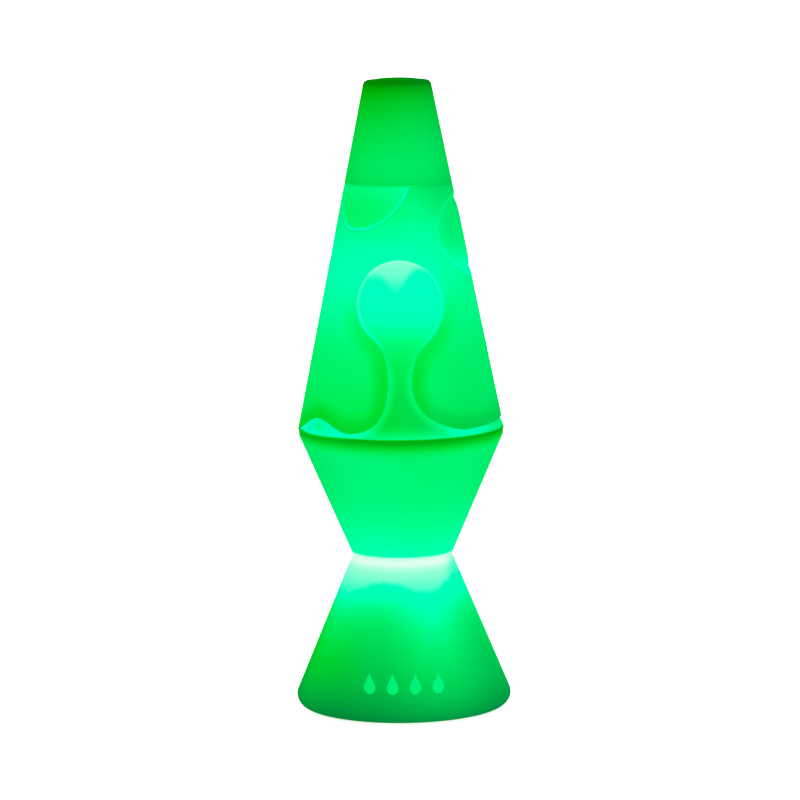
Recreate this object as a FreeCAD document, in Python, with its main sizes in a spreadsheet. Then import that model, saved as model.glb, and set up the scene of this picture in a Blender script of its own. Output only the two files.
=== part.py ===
"""Desk mood lamp in the shape of a lava lamp: four moulded shells round a mast of LEDs, run from three cells.

Frame: millimetres, +Z up, the origin at the middle of the surface that the feet stand on. The front, with the
tall rising blob of lava, faces -Y, and the colour button is at the back, towards +Y.
"""

import FreeCAD, Part
import math
import os
import re

import Sketcher
from FreeCAD import Placement, Rotation, Vector

SIZES = [
    # outer form, from the bottom up
    ("foot_proud", 0.8, "feet below the bottom plate"),
    ("base_height", 68.4, "base shell, bottom plane to the waist"),
    ("base_radius", 50.3, "where the base cone meets its bottom plane, before the corner is rounded"),
    ("base_corner", 5.2, "outer rounding at the foot of the base shell"),
    ("base_inner_corner", 4.0, "inner rounding at the foot of the base shell"),
    ("base_top_radius", 21.9, "base shell at the waist"),
    ("base_wall", 2.4, "base shell, measured level"),
    ("cup_height", 56.1, "cup shell, waist to rim"),
    ("cup_bottom_radius", 22.2, "cup shell at the waist"),
    ("cup_floor", 2.0, "cup shell's floor ring above the waist"),
    ("rim_radius", 45.3, "cup shell's lip"),
    ("rim_band", 2.5, "upright band of the lip"),
    ("shell_wall", 2.2, "cup, globe and cap shells, measured level"),
    ("globe_height", 108.9, "globe shell, rim to cap seam"),
    ("globe_radius", 45.7, "globe shell at the rim"),
    ("cap_height", 45.2, "cap shell, seam to top"),
    ("top_radius", 14.65, "cone at the cap's top plane, before rounding"),
    ("cap_corner", 2.2, "rounding of the cap's top edge"),
    ("disc_radius", 8.4, "low raised disc on the cap"),
    ("disc_proud", 0.6, "height of that disc"),
    # lava relief on the globe
    ("relief_proud", 0.25, "lava pads above the cone, at the cap seam"),
    ("relief_rim_proud", 0.3, "lava pads above the cone, at the rim"),
    ("relief_sunk", 1.2, "groove round each pad, below the cone"),
    ("relief_edge", 1.4, "width of that groove"),
    # drop marks on the base's front
    ("mark_level", 18.2, "middle of the marks above the floor"),
    ("mark_height", 9.0, "each mark"),
    ("mark_width", 5.4, "each mark"),
    ("mark_pitch", 10.0, "from one mark to the next"),
    ("mark_proud", 0.4, "marks above the cone, measured level"),
    # joints between the shells
    ("fit_gap", 0.15, "level gap between a tongue and its seat"),
    ("tongue_wall", 1.6, "thickness of the tongues"),
    ("rim_tongue", 5.5, "globe's tongue down inside the cup"),
    ("cap_tongue", 6.0, "globe's tongue up inside the cap"),
    ("neck_wall", 1.8, "cup's neck"),
    ("neck_length", 10.0, "cup's neck down inside the base"),
    ("neck_gap", 0.2, "neck to base shell"),
    ("lock_ring_low", 8.0, "lock ring's lower face below the waist"),
    ("lock_ring_high", 2.5, "lock ring's upper face below the waist"),
    # bottom housing
    ("floor_ring", 12.1, "base_radius to the edge of the seat of the bottom plate"),
    ("floor_lip", 4.8, "width of the seat that the plate lies against"),
    ("floor_thickness", 2.0, "thickness of that seat"),
    ("plate_thickness", 2.0, "bottom plate"),
    ("plate_gap", 0.2, "plate to its seat, level"),
    ("screw_inset", 4.2, "edge of the seat to the screws"),
    ("screw_angle", 15.0, "housing screws off the X axis, degrees"),
    ("screw_radius", 1.5, "housing screws"),
    ("screw_head", 2.75, "their head radius"),
    ("screw_head_height", 1.3, "their head"),
    ("screw_length", 9.0, "their shank"),
    ("head_gap", 0.2, "screw head to its counterbore"),
    ("boss_radius", 3.0, "screw posts in the base shell"),
    ("boss_height", 11.0, "screw posts above the plate"),
    ("rib_thickness", 2.0, "ribs that tie the posts to the wall"),
    ("foot_radius", 4.0, "rubber feet"),
    ("foot_inset", 5.6, "edge of the seat to the feet"),
    ("foot_depth", 0.8, "feet let into the plate"),
    ("foot_angle", 55.0, "feet off the X axis, degrees"),
    # cells and their box
    ("cell_diameter", 10.5, "AAA cell"),
    ("cell_length", 44.5, "AAA cell with its nub"),
    ("nub_radius", 1.9, "positive nub"),
    ("nub_height", 1.0, "positive nub"),
    ("cell_gap", 0.5, "between cells"),
    ("box_play", 0.5, "outer cells to the box wall"),
    ("cell_clear", 0.65, "cells to the plate's top plane and to the roof"),
    ("spring_length", 4.9, "compressed contact spring"),
    ("spring_radius", 3.0, "contact spring's coil"),
    ("spring_wire", 0.35, "its wire's radius"),
    ("spring_pitch", 1.2, "its pitch"),
    ("contact_thickness", 0.3, "contact plates"),
    ("contact_height", 8.4, "contact plates"),
    ("box_wall", 1.5, "box walls and roof"),
    ("ledge_overlap", 1.75, "ledge beyond the door opening"),
    ("ledge_thickness", 1.5, "ledge"),
    ("divider_width", 2.0, "ribs between the cells"),
    ("divider_depth", 3.0, "ribs down from the roof"),
    # battery door
    ("door_margin", 0.45, "door beyond the box walls"),
    ("door_gap", 0.3, "door to its opening"),
    ("door_thickness", 1.7, "door"),
    ("pin_radius", 0.5, "door's hinge pins"),
    ("pin_reach", 1.8, "pins beyond the door's ends"),
    ("running_gap", 0.05, "pins and sliding pieces in their holes, radial"),
    ("notch_radius", 4.0, "finger notch in the door's edge"),
    ("notch_depth", 0.9, "finger notch"),
    # power switch
    ("switch_offset", 8.0, "switch beyond the box wall"),
    ("switch_travel", 3.0, "off to on"),
    ("knob_length", 5.6, "thumb knob"),
    ("knob_width", 3.6, "thumb knob"),
    ("knob_proud", 0.5, "knob below the plate"),
    ("knob_ridge", 0.35, "radius of the knob's ridges"),
    ("slot_gap", 0.2, "knob to its slot"),
    ("guide_thickness", 0.8, "guide inside the plate"),
    ("guide_lift", 0.2, "guide above the plate"),
    ("guide_margin", 3.6, "guide beyond the knob, along its travel"),
    ("guide_width", 5.8, "guide across its travel"),
    ("lever_side", 1.5, "switch lever"),
    ("lever_reach", 2.0, "lever above the guide"),
    ("switch_length", 8.8, "slide switch"),
    ("switch_width", 6.6, "slide switch"),
    ("switch_height", 4.0, "slide switch"),
    ("switch_lift", 0.8, "switch above the guide"),
    ("cradle_wall", 1.2, "walls each side of the switch"),
    # colour button at the back
    ("button_height", 24.0, "button's middle above the floor"),
    ("button_radius", 4.5, "button"),
    ("button_proud", 1.3, "button beyond the wall"),
    ("button_round", 0.6, "button's rounded edge"),
    ("button_gap", 0.25, "button to its hole"),
    ("button_flange", 5.8, "flange behind the wall"),
    ("flange_depth", 3.0, "flange's front below the wall's outer face"),
    ("flange_thickness", 1.0, "flange"),
    ("stem_radius", 2.0, "button's stem"),
    ("stem_length", 1.8, "button's stem"),
    ("plunger_radius", 1.7, "tact switch's plunger"),
    ("plunger_length", 1.6, "plunger"),
    ("plunger_proud", 1.0, "plunger out of its switch"),
    ("plunger_room", 1.1, "room below the plunger"),
    ("tact_side", 6.0, "tact switch"),
    ("tact_height", 3.5, "tact switch"),
    ("button_board_width", 21.0, "button board"),
    ("button_board_height", 13.0, "button board"),
    ("board_thickness", 1.6, "circuit boards"),
    ("button_post_side", 8.1, "button board's posts off its middle"),
    ("button_post_radius", 1.9, "those posts"),
    ("small_screw", 1.0, "board screws"),
    ("small_head", 1.8, "their head radius"),
    ("small_head_height", 1.1, "their head"),
    ("small_length", 4.0, "their shank"),
    # control board
    ("post_height", 4.5, "control board above the box roof"),
    ("post_radius", 2.2, "its posts"),
    ("post_x", 20.0, "its posts off the middle"),
    ("post_y", 13.0, "its posts off the middle"),
    ("control_radius", 26.5, "control board"),
    ("control_hole", 11.6, "hole round the mast"),
    ("chip_length", 8.0, "controller chip"),
    ("chip_width", 6.0, "controller chip"),
    ("chip_height", 1.6, "controller chip"),
    ("chip_leg", 0.5, "width and height of its legs"),
    ("capacitor_radius", 3.0, "capacitor"),
    ("capacitor_height", 7.0, "capacitor"),
    ("plug_length", 5.0, "harness plug, radially"),
    ("plug_width", 8.0, "harness plug"),
    ("plug_height", 4.5, "harness plug"),
    ("part_circle", 19.0, "circle that the board's parts stand on"),
    # mast, LEDs and diffuser
    ("pad_height", 3.0, "mast pad on the box roof"),
    ("mast_flange", 10.0, "mast's flange"),
    ("mast_flange_thickness", 2.0, "mast's flange"),
    ("mast_screw_circle", 7.8, "mast screws"),
    ("mast_radius", 5.0, "mast above the drum"),
    ("mast_bore", 3.6, "mast's bore"),
    ("mast_shoulder", 6.2, "mast below the drum"),
    ("window_height", 5.0, "harness window in the mast's side"),
    ("window_width", 4.0, "harness window"),
    ("drum_drop", 13.0, "drum's lower face below the waist"),
    ("drum_height", 8.0, "LED drum"),
    ("drum_radius", 8.5, "LED drum"),
    ("strip_thickness", 0.4, "flexible LED strip"),
    ("led_side", 5.0, "LEDs"),
    ("led_height", 1.6, "LEDs"),
    ("ring_leds", 4, "LEDs round the drum"),
    ("ring_led_turn", 24.0, "the first of them off the X axis, degrees"),
    ("top_leds", 4, "LEDs on the upper board"),
    ("top_led_side", 3.5, "upper LEDs"),
    ("top_led_circle", 4.6, "circle of the upper LEDs"),
    ("mast_rise", 63.0, "mast's top above the rim"),
    ("mast_head_thickness", 1.6, "mast's head"),
    ("upper_board_radius", 9.0, "upper LED board"),
    ("upper_board_bore", 1.9, "hole for the harness"),
    ("diffuser_radius", 11.2, "diffuser dome, outside"),
    ("diffuser_wall", 1.2, "diffuser dome"),
    ("diffuser_skirt", 4.0, "straight skirt below the dome"),
    # harness and leads
    ("harness_radius", 1.5, "LED harness"),
    ("harness_bend", 4.0, "LED harness's bend"),
    ("lead_radius", 0.7, "leads"),
    ("lead_bend", 2.0, "bends of the leads"),
]

DOC = FreeCAD.newDocument("mood_lamp")
SHEET = DOC.addObject("Spreadsheet::Sheet", "Sizes")
ALIASES = {alias for alias, _, _ in SIZES}
NODES = {}

for row, (alias, number, note) in enumerate(SIZES, start=1):
    SHEET.set(f"A{row}", note)
    SHEET.set(f"B{row}", str(number))
    SHEET.setAlias(f"B{row}", alias)
DOC.recompute()

# Heights that several pieces share, as expressions on the sheet's cells.
PLATE_TOP = "(foot_proud + plate_thickness)"
WAIST = "(foot_proud + base_height)"
RIM = f"({WAIST} + cup_height)"
SEAM = f"({RIM} + globe_height)"
TOP = f"({SEAM} + cap_height)"
CELL_AXIS = f"({PLATE_TOP} + cell_clear + cell_diameter / 2)"
ROOF = f"({CELL_AXIS} + cell_diameter / 2 + cell_clear)"
ROOF_TOP = f"({ROOF} + box_wall)"
PAD_TOP = f"({ROOF_TOP} + pad_height)"
CONTROL = f"({ROOF_TOP} + post_height)"
CONTROL_TOP = f"({CONTROL} + board_thickness)"
DRUM = f"({WAIST} - drum_drop)"
MAST_TOP = f"({RIM} + mast_rise)"
UPPER_BOARD_TOP = f"({MAST_TOP} + board_thickness)"

# Level distances that several pieces share.
SEAT = "(base_radius - floor_ring)"
SCREW_CIRCLE = f"({SEAT} - screw_inset)"
FOOT_CIRCLE = f"({SEAT} - foot_inset)"
CELL_PITCH = "(cell_diameter + cell_gap)"
BOX_X = "((cell_length + spring_length) / 2 + contact_thickness)"
BOX_Y = f"({CELL_PITCH} + cell_diameter / 2 + box_play)"
DOOR_X = f"({BOX_X} + box_wall + door_margin)"
DOOR_Y = f"({BOX_Y} + box_wall + door_margin)"
SWITCH_Y = f"({BOX_Y} + box_wall + switch_offset)"
GUIDE = f"({PLATE_TOP} + guide_lift)"
GUIDE_TOP = f"({GUIDE} + guide_thickness)"
SWITCH = f"({GUIDE_TOP} + switch_lift)"
NECK = "(base_top_radius - base_wall - neck_gap)"
MAST_HEAD = "(diffuser_radius - diffuser_wall)"


def on_line(low, high, height):
    """The level distance at a height on the straight line between two (distance, height) corners."""
    (r0, z0), (r1, z1) = low, high
    return f"({r0} + (({r1}) - ({r0})) * (({height}) - ({z0})) / (({z1}) - ({z0})))"


def base_cone(height):
    """The base shell's outer cone at a height."""
    return on_line(("base_radius", "foot_proud"), ("base_top_radius", WAIST), height)


def cup_cone(height):
    """The cup shell's outer cone at a height."""
    return on_line(("cup_bottom_radius", WAIST), ("rim_radius", f"{RIM} - rim_band"), height)


def upper_cone(height):
    """The one cone that the globe and the cap share, at a height."""
    return on_line(("globe_radius", RIM), ("top_radius", TOP), height)


def bound(text):
    """An expression with each size's name pointing at its cell."""
    return re.sub(r"[a-z][a-z0-9_]*", lambda m: ("Sizes." if m.group() in ALIASES else "") + m.group(), str(text))


def value(text):
    """An expression's value now, for pieces that code shapes."""
    return float(SHEET.evalExpression(bound(text)))


def place(piece, x="0", y="0", z="0"):
    """Ties a piece's position to the sheet."""
    for letter, text in zip("xyz", (x, y, z)):
        piece.setExpression(f"Placement.Base.{letter}", bound(text))
    return piece


def box(name, x, y, z):
    """A block between two ends along each of X, Y and Z."""
    piece = DOC.addObject("Part::Box", name)
    for side, (low, high) in zip(("Length", "Width", "Height"), (x, y, z)):
        piece.setExpression(side, bound(f"({high}) - ({low})"))
    return place(piece, x[0], y[0], z[0])


def middle_box(name, x, y, z):
    """A block centred on X and Y, x and y being its half sizes."""
    return box(name, (f"-({x})", x), (f"-({y})", y), z)


def rod(name, radius, z, x="0", y="0"):
    """An upright cylinder between two heights."""
    piece = DOC.addObject("Part::Cylinder", name)
    piece.setExpression("Radius", bound(radius))
    piece.setExpression("Height", bound(f"({z[1]}) - ({z[0]})"))
    return place(piece, x, y, z[0])


def turned_box(name, x, y, z, angle):
    """A block between ends along X, Y and Z, then turned about Z by an angle in degrees."""
    piece = DOC.addObject("Part::Box", name)
    for side, (low, high) in zip(("Length", "Width", "Height"), (x, y, z)):
        piece.setExpression(side, bound(f"({high}) - ({low})"))
    piece.Placement = Placement(Vector(), Rotation(Vector(0, 0, 1), value(angle)))
    across = f"({x[0]}) * cos({angle}) - ({y[0]}) * sin({angle})"
    back = f"({x[0]}) * sin({angle}) + ({y[0]}) * cos({angle})"
    return place(piece, across, back, z[0])


def level_rod(name, radius, x, y, z):
    """A cylinder along X between two ends."""
    piece = DOC.addObject("Part::Cylinder", name)
    piece.Placement = Placement(Vector(), Rotation(Vector(0, 1, 0), 90))
    piece.setExpression("Radius", bound(radius))
    piece.setExpression("Height", bound(f"({x[1]}) - ({x[0]})"))
    return place(piece, x[0], y, z)


def fuse(name, pieces):
    """Pieces joined into one solid."""
    joined = DOC.addObject("Part::MultiFuse", name)
    joined.Shapes = pieces
    joined.Refine = True
    return joined


def cut(name, body, tools):
    """A piece with tools taken out of it."""
    made = DOC.addObject("Part::Cut", name)
    made.Base = body
    made.Tool = tools[0] if len(tools) == 1 else fuse(name + "_tools", tools)
    made.Refine = True
    return made


def common(name, first, second):
    """What two pieces share."""
    made = DOC.addObject("Part::Common", name)
    made.Base = first
    made.Tool = second
    return made


def group(name, pieces):
    """Separate solids in one node."""
    made = DOC.addObject("Part::Compound", name)
    made.Links = pieces
    return made


def shaped(name, shape):
    """A piece whose shape is worked out in code from the sheet's sizes."""
    made = DOC.addObject("Part::Feature", name)
    made.Shape = shape
    return made


def node(name, piece):
    """Registers a finished piece as a sub-part."""
    piece.Label = name
    NODES[name] = piece
    return piece


def outline(body, name, corners):
    """A closed sketch on the XZ plane, each corner held at its (across, up) expressions."""
    sketch = body.newObject("Sketcher::SketchObject", name)
    plane = next(f for f in body.Origin.OriginFeatures if f.Role == "XZ_Plane")
    sketch.AttachmentSupport = (plane, [""])
    sketch.MapMode = "FlatFace"
    points = [Vector(value(across), value(up), 0) for across, up in corners]
    count = len(points)
    for i, start in enumerate(points):
        sketch.addGeometry(Part.LineSegment(start, points[(i + 1) % count]), False)
    for i in range(count):
        sketch.addConstraint(Sketcher.Constraint("Coincident", i, 2, (i + 1) % count, 1))
    for i, (corner, point) in enumerate(zip(corners, points)):
        for kind, text, number, axis in zip(("DistanceX", "DistanceY"), corner, point, (-2, -1)):
            if number == 0:
                sketch.addConstraint(Sketcher.Constraint("PointOnObject", i, 1, axis))
                continue
            held = sketch.addConstraint(Sketcher.Constraint(kind, -1, 1, i, 1, number))
            sketch.setExpression(f"Constraints[{held}]", bound(text))
    return sketch


def rings(shape, radius, height):
    """The names of the level circular edges of that radius at that height."""
    names = []
    for i, edge in enumerate(shape.Edges, start=1):
        circle = edge.Curve
        if isinstance(circle, Part.Circle) and abs(circle.Radius - value(radius)) < 0.01:
            if abs(circle.Center.z - value(height)) < 0.01:
                names.append(f"Edge{i}")
    return names


def turned(name, corners, rounds=()):
    """A body turned about Z from its outline, with (edge radius, edge height, rounding) for each rounded edge."""
    body = DOC.addObject("PartDesign::Body", name)
    sketch = outline(body, name + "_outline", corners)
    turn = body.newObject("PartDesign::Revolution", name + "_turn")
    turn.Profile = sketch
    turn.ReferenceAxis = (sketch, ["V_Axis"])
    turn.Angle = 360
    DOC.recompute()
    solid = turn
    for i, (radius, height, rounding) in enumerate(rounds, start=1):
        fillet = body.newObject("PartDesign::Fillet", f"{name}_round_{i}")
        fillet.Base = (solid, rings(solid.Shape, radius, height))
        fillet.setExpression("Radius", bound(rounding))
        DOC.recompute()
        solid = fillet
    return body


def on_circle(radius, angle):
    """The (x, y) place on a circle about Z, at an angle in degrees."""
    return f"{radius} * cos({angle})", f"{radius} * sin({angle})"


def four_ways(angle):
    """An angle and its reflections across the X and Y axes."""
    return [angle, f"(180 - {angle})", f"(180 + {angle})", f"(-{angle})"]


def screw(name, radius, head, head_z, shank_z, x="0", y="0"):
    """A plain screw: its thread is a smooth shank at the thread's outer radius."""
    shank = rod(name + "_shank", radius, shank_z, x, y)
    return fuse(name, [rod(name + "_head", head, head_z, x, y), shank])


def smooth_loop(points):
    """A closed wire through points, smooth all the way round."""
    curve = Part.BSplineCurve()
    curve.interpolate(Points=points, PeriodicFlag=True)
    return Part.Wire(curve.toShape())


def tube_route(points, bend, radius):
    """A round tube along straight runs joined by tangent arcs of one radius."""
    edges = []
    start = points[0]
    for before, corner, after in zip(points, points[1:], points[2:]):
        into = (corner - before).normalize()
        out = (after - corner).normalize()
        turn = into.getAngle(out)
        back = bend * math.tan(turn / 2)
        enter = corner - into * back
        leave = corner + out * back
        middle = corner + (out - into).normalize() * (bend / math.cos(turn / 2) - bend)
        edges.append(Part.LineSegment(start, enter).toShape())
        edges.append(Part.Arc(enter, middle, leave).toShape())
        start = leave
    edges.append(Part.LineSegment(start, points[-1]).toShape())
    ring = Part.Wire(Part.Circle(points[0], points[1] - points[0], radius).toShape())
    tube = Part.Wire(edges).makePipeShell([ring], True, False)
    length = sum(edge.Length for edge in edges)
    expected = math.pi * radius**2 * length
    if abs(tube.Volume - expected) > 0.02 * expected:
        raise ValueError(f"a tube has volume {tube.Volume:.1f} and not {expected:.1f}")
    return tube


# ---------------------------------------------------------------- outer shells


def button_frame():
    """The colour button's place: its local +Z points out of the base cone's back wall."""
    slope = math.atan((value("base_radius") - value("base_top_radius")) / value("base_height"))
    tilt = 90 - math.degrees(slope)
    wall = Vector(0, value(base_cone("button_height")), value("button_height"))
    return Placement(wall, Rotation(Vector(1, 0, 0), -tilt))


def tilted(piece):
    """Puts a piece drawn about the origin into the colour button's frame."""
    piece.Placement = button_frame().multiply(piece.Placement)
    return piece


def local_rod(name, radius, low, high, x="0", y="0"):
    """A cylinder along the button's axis. Its depths are measured outwards from the wall's outer face."""
    piece = DOC.addObject("Part::Cylinder", name)
    piece.setExpression("Radius", bound(radius))
    piece.setExpression("Height", bound(f"({high}) - ({low})"))
    piece.Placement = Placement(Vector(value(x), value(y), value(low)), Rotation())
    return tilted(piece)


def local_block(name, width, height, low, high):
    """A block centred on the button's axis."""
    piece = DOC.addObject("Part::Box", name)
    piece.setExpression("Length", bound(width))
    piece.setExpression("Width", bound(height))
    piece.setExpression("Height", bound(f"({high}) - ({low})"))
    piece.Placement = Placement(Vector(-value(width) / 2, -value(height) / 2, value(low)), Rotation())
    return tilted(piece)


STEM_END = "(-flange_depth - flange_thickness - stem_length)"
TACT_TOP = f"({STEM_END} - plunger_proud)"
TACT_BOTTOM = f"({TACT_TOP} - tact_height)"
BUTTON_BOARD_BACK = f"({TACT_BOTTOM} - board_thickness)"


def base_shell():
    """The lower cone, open below for the bottom plate, with screw posts, drop marks and the button's hole."""
    inner_floor = f"({PLATE_TOP} + floor_thickness)"
    lip = f"({SEAT} - floor_lip)"
    cone = turned(
        "base_cone",
        [
            (SEAT, "foot_proud"),
            ("base_radius", "foot_proud"),
            ("base_top_radius", WAIST),
            ("base_top_radius - base_wall", WAIST),
            (f"{base_cone(inner_floor)} - base_wall", inner_floor),
            (lip, inner_floor),
            (lip, PLATE_TOP),
            (SEAT, PLATE_TOP),
        ],
        [
            ("base_radius", "foot_proud", "base_corner"),
            (f"{base_cone(inner_floor)} - base_wall", inner_floor, "base_inner_corner"),
        ],
    )
    solids = [cone] + base_marks()
    holes = []
    post_top = f"({PLATE_TOP} + boss_height)"
    rib_end = f"{base_cone(post_top)} - base_wall / 2"
    pilot = (f"{PLATE_TOP} - 1", "foot_proud + screw_head_height + screw_length")
    for i, angle in enumerate(four_ways("screw_angle")):
        x, y = on_circle(SCREW_CIRCLE, angle)
        thick = ("-rib_thickness / 2", "rib_thickness / 2")
        solids.append(rod(f"base_post_{i}", "boss_radius", (PLATE_TOP, post_top), x, y))
        solids.append(turned_box(f"base_rib_{i}", (SCREW_CIRCLE, rib_end), thick, (PLATE_TOP, post_top), angle))
        holes.append(rod(f"base_pilot_{i}", "screw_radius", pilot, x, y))
    for side in (-1, 1):
        x = f"{side} * button_post_side"
        post_front = "-base_wall * 0.75"
        solids.append(local_rod(f"button_post_{side + 1}", "button_post_radius", TACT_BOTTOM, post_front, x))
        pilot_top = f"{BUTTON_BOARD_BACK} + small_length"
        holes.append(local_rod(f"button_pilot_{side + 1}", "small_screw", BUTTON_BOARD_BACK, pilot_top, x))
    hole_radius = "button_radius + button_gap"
    holes.append(local_rod("button_hole", hole_radius, "-flange_depth", "button_proud + 1"))
    # the lip gives way to a battery box that reaches it
    box_x, box_y = f"{BOX_X} + box_wall + fit_gap", f"{BOX_Y} + box_wall + fit_gap"
    holes.append(middle_box("box_room", box_x, box_y, (PLATE_TOP, f"{ROOF_TOP} + fit_gap")))
    return node("base_shell", cut("base_shell_cut", fuse("base_shell_solid", solids), holes))


# A drop seen from the front, clockwise from its point, as shares of its half width and half height.
DROP = [
    (0, 1), (0.37, 0.52), (0.81, 0.04), (1, -0.36), (0.7, -0.8),
    (0, -1), (-0.7, -0.8), (-1, -0.36), (-0.81, 0.04), (-0.37, 0.52),
]


def base_marks():
    """Four low drops in a row across the base's front."""
    low = "(mark_level - mark_height)"
    high = "(mark_level + mark_height)"
    skin = turned(
        "mark_skin",
        [
            (f"{base_cone(low)} - base_wall / 2", low),
            (f"{base_cone(low)} + mark_proud", low),
            (f"{base_cone(high)} + mark_proud", high),
            (f"{base_cone(high)} - base_wall / 2", high),
        ],
    )
    half_width, half_height = value("mark_width / 2"), value("mark_height / 2")
    prisms = []
    for i in range(4):
        x = (i - 1.5) * value("mark_pitch")
        corners = [Vector(x + half_width * u, 0, value("mark_level") + half_height * v) for u, v in DROP]
        prism = Part.Face(smooth_loop(corners)).extrude(Vector(0, -2 * value("base_radius"), 0))
        prisms.append(shaped(f"mark_prism_{i}", prism))
    return [common(f"mark_{i}", prism, skin) for i, prism in enumerate(prisms)]


def cup_shell():
    """The inverted cone above the waist, with a neck down into the base and an upright lip."""
    floor_top = f"({WAIST} + cup_floor)"
    neck_end = f"({WAIST} - neck_length)"
    lip_foot = f"({RIM} - rim_band)"
    return node(
        "cup_shell",
        turned(
            "cup",
            [
                (NECK, WAIST),
                ("cup_bottom_radius", WAIST),
                ("rim_radius", lip_foot),
                ("rim_radius", RIM),
                ("rim_radius - shell_wall", RIM),
                ("rim_radius - shell_wall", lip_foot),
                (f"{cup_cone(floor_top)} - shell_wall", floor_top),
                (f"{NECK} - neck_wall", floor_top),
                (f"{NECK} - neck_wall", neck_end),
                (NECK, neck_end),
            ],
        ),
    )


def cup_seat(depth):
    """The outer face of the globe's tongue at a depth below the rim."""
    return f"({cup_cone(f'{RIM} - {depth}')} - shell_wall - fit_gap)"


# Lava outlines. Each has the way it faces in degrees, 0 being the front and 90 the right-hand side, whether it
# closes on itself, and its points clockwise as seen from outside: shares of the globe's radius across and of its
# height up.
LAVA = {
    "front_column": (
        0,
        False,
        [
            (-1.10, -0.06), (-1.02, -0.012), (-0.90, 0.048), (-0.81, 0.074), (-0.70, 0.062), (-0.57, 0.033),
            (-0.42, 0.032), (-0.27, 0.06), (-0.165, 0.12), (-0.12, 0.23), (-0.155, 0.335), (-0.28, 0.405),
            (-0.385, 0.465), (-0.422, 0.54), (-0.375, 0.615), (-0.22, 0.69), (0, 0.716), (0.215, 0.69),
            (0.365, 0.63), (0.432, 0.533), (0.385, 0.45), (0.24, 0.374), (0.135, 0.30), (0.112, 0.21),
            (0.18, 0.132), (0.34, 0.075), (0.60, 0.037), (0.80, 0.040), (0.95, 0.048), (1.05, 0.046), (1.12, -0.05),
        ],
    ),
    "back_mound": (
        180,
        False,
        [
            (-1.12, -0.05), (-1.05, 0.055), (-0.95, 0.062), (-0.78, 0.075), (-0.56, 0.045), (-0.38, 0.10),
            (-0.28, 0.21), (-0.13, 0.30), (0.06, 0.31), (0.21, 0.225), (0.30, 0.115), (0.47, 0.05), (0.70, 0.07),
            (0.88, 0.055), (1.02, 0.01), (1.10, -0.05),
        ],
    ),
    "front_hanging": (
        -30,
        False,
        [
            (0.35, 1.03), (0.345, 0.985), (0.30, 0.93), (0.19, 0.869), (0.047, 0.835), (-0.13, 0.82),
            (-0.267, 0.828), (-0.375, 0.86), (-0.445, 0.91), (-0.475, 0.98), (-0.475, 1.03),
        ],
    ),
    "back_hanging": (
        150,
        False,
        [(0.25, 1.03), (0.22, 0.95), (0.05, 0.885), (-0.15, 0.90), (-0.24, 0.96), (-0.26, 1.03)],
    ),
    "right_drop": (
        81,
        True,
        [
            (0, 0.966), (0.20, 0.94), (0.34, 0.875), (0.41, 0.79), (0.38, 0.715), (0.25, 0.658), (0.05, 0.628),
            (-0.121, 0.634), (-0.28, 0.668), (-0.395, 0.715), (-0.428, 0.775), (-0.405, 0.84), (-0.318, 0.908),
            (-0.17, 0.948),
        ],
    ),
    "left_drop": (
        -118,
        True,
        [
            (0, 0.863), (0.25, 0.82), (0.35, 0.716), (0.25, 0.612), (0, 0.569), (-0.25, 0.612), (-0.35, 0.716),
            (-0.25, 0.82),
        ],
    ),
    "back_drop": (
        172,
        True,
        [
            (0, 0.70), (0.22, 0.66), (0.31, 0.565), (0.22, 0.47), (0, 0.43), (-0.22, 0.47), (-0.31, 0.565),
            (-0.22, 0.66),
        ],
    ),
}


def lava_prism(name, side, closed, shares, inwards):
    """A prism out through the globe's wall from a lava outline, shrunk by inwards and turned to its side."""
    radius, height, rim = value("globe_radius"), value("globe_height"), value(RIM)
    points = [Vector(radius * across, 0, rim + height * up) for across, up in shares]
    curve = Part.BSplineCurve()
    curve.interpolate(Points=points, PeriodicFlag=closed)
    if inwards:
        first, last = curve.FirstParameter, curve.LastParameter
        steps = 3 * len(points)
        moved = []
        for i in range(steps + (0 if closed else 1)):
            here = first + (last - first) * i / steps
            right = curve.tangent(here)[0].cross(Vector(0, -1, 0))
            moved.append(curve.value(here) + right * inwards)
        curve = Part.BSplineCurve()
        curve.interpolate(Points=moved, PeriodicFlag=closed)
    edges = [curve.toShape()]
    if not closed:
        edges.append(Part.LineSegment(curve.EndPoint, curve.StartPoint).toShape())
    prism = Part.Face(Part.Wire(edges)).extrude(Vector(0, -2 * radius, 0))
    prism.rotate(Vector(), Vector(0, 0, 1), side)
    return shaped(name, prism)


def relief_layer(name, low, high, inside, outside):
    """A conical layer over the globe between two heights, from one level offset to another at each of them."""
    return turned(
        name,
        [
            (f"{upper_cone(low)} + {inside[0]}", low),
            (f"{upper_cone(low)} + {outside[0]}", low),
            (f"{upper_cone(high)} + {outside[1]}", high),
            (f"{upper_cone(high)} + {inside[1]}", high),
        ],
    )


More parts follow.
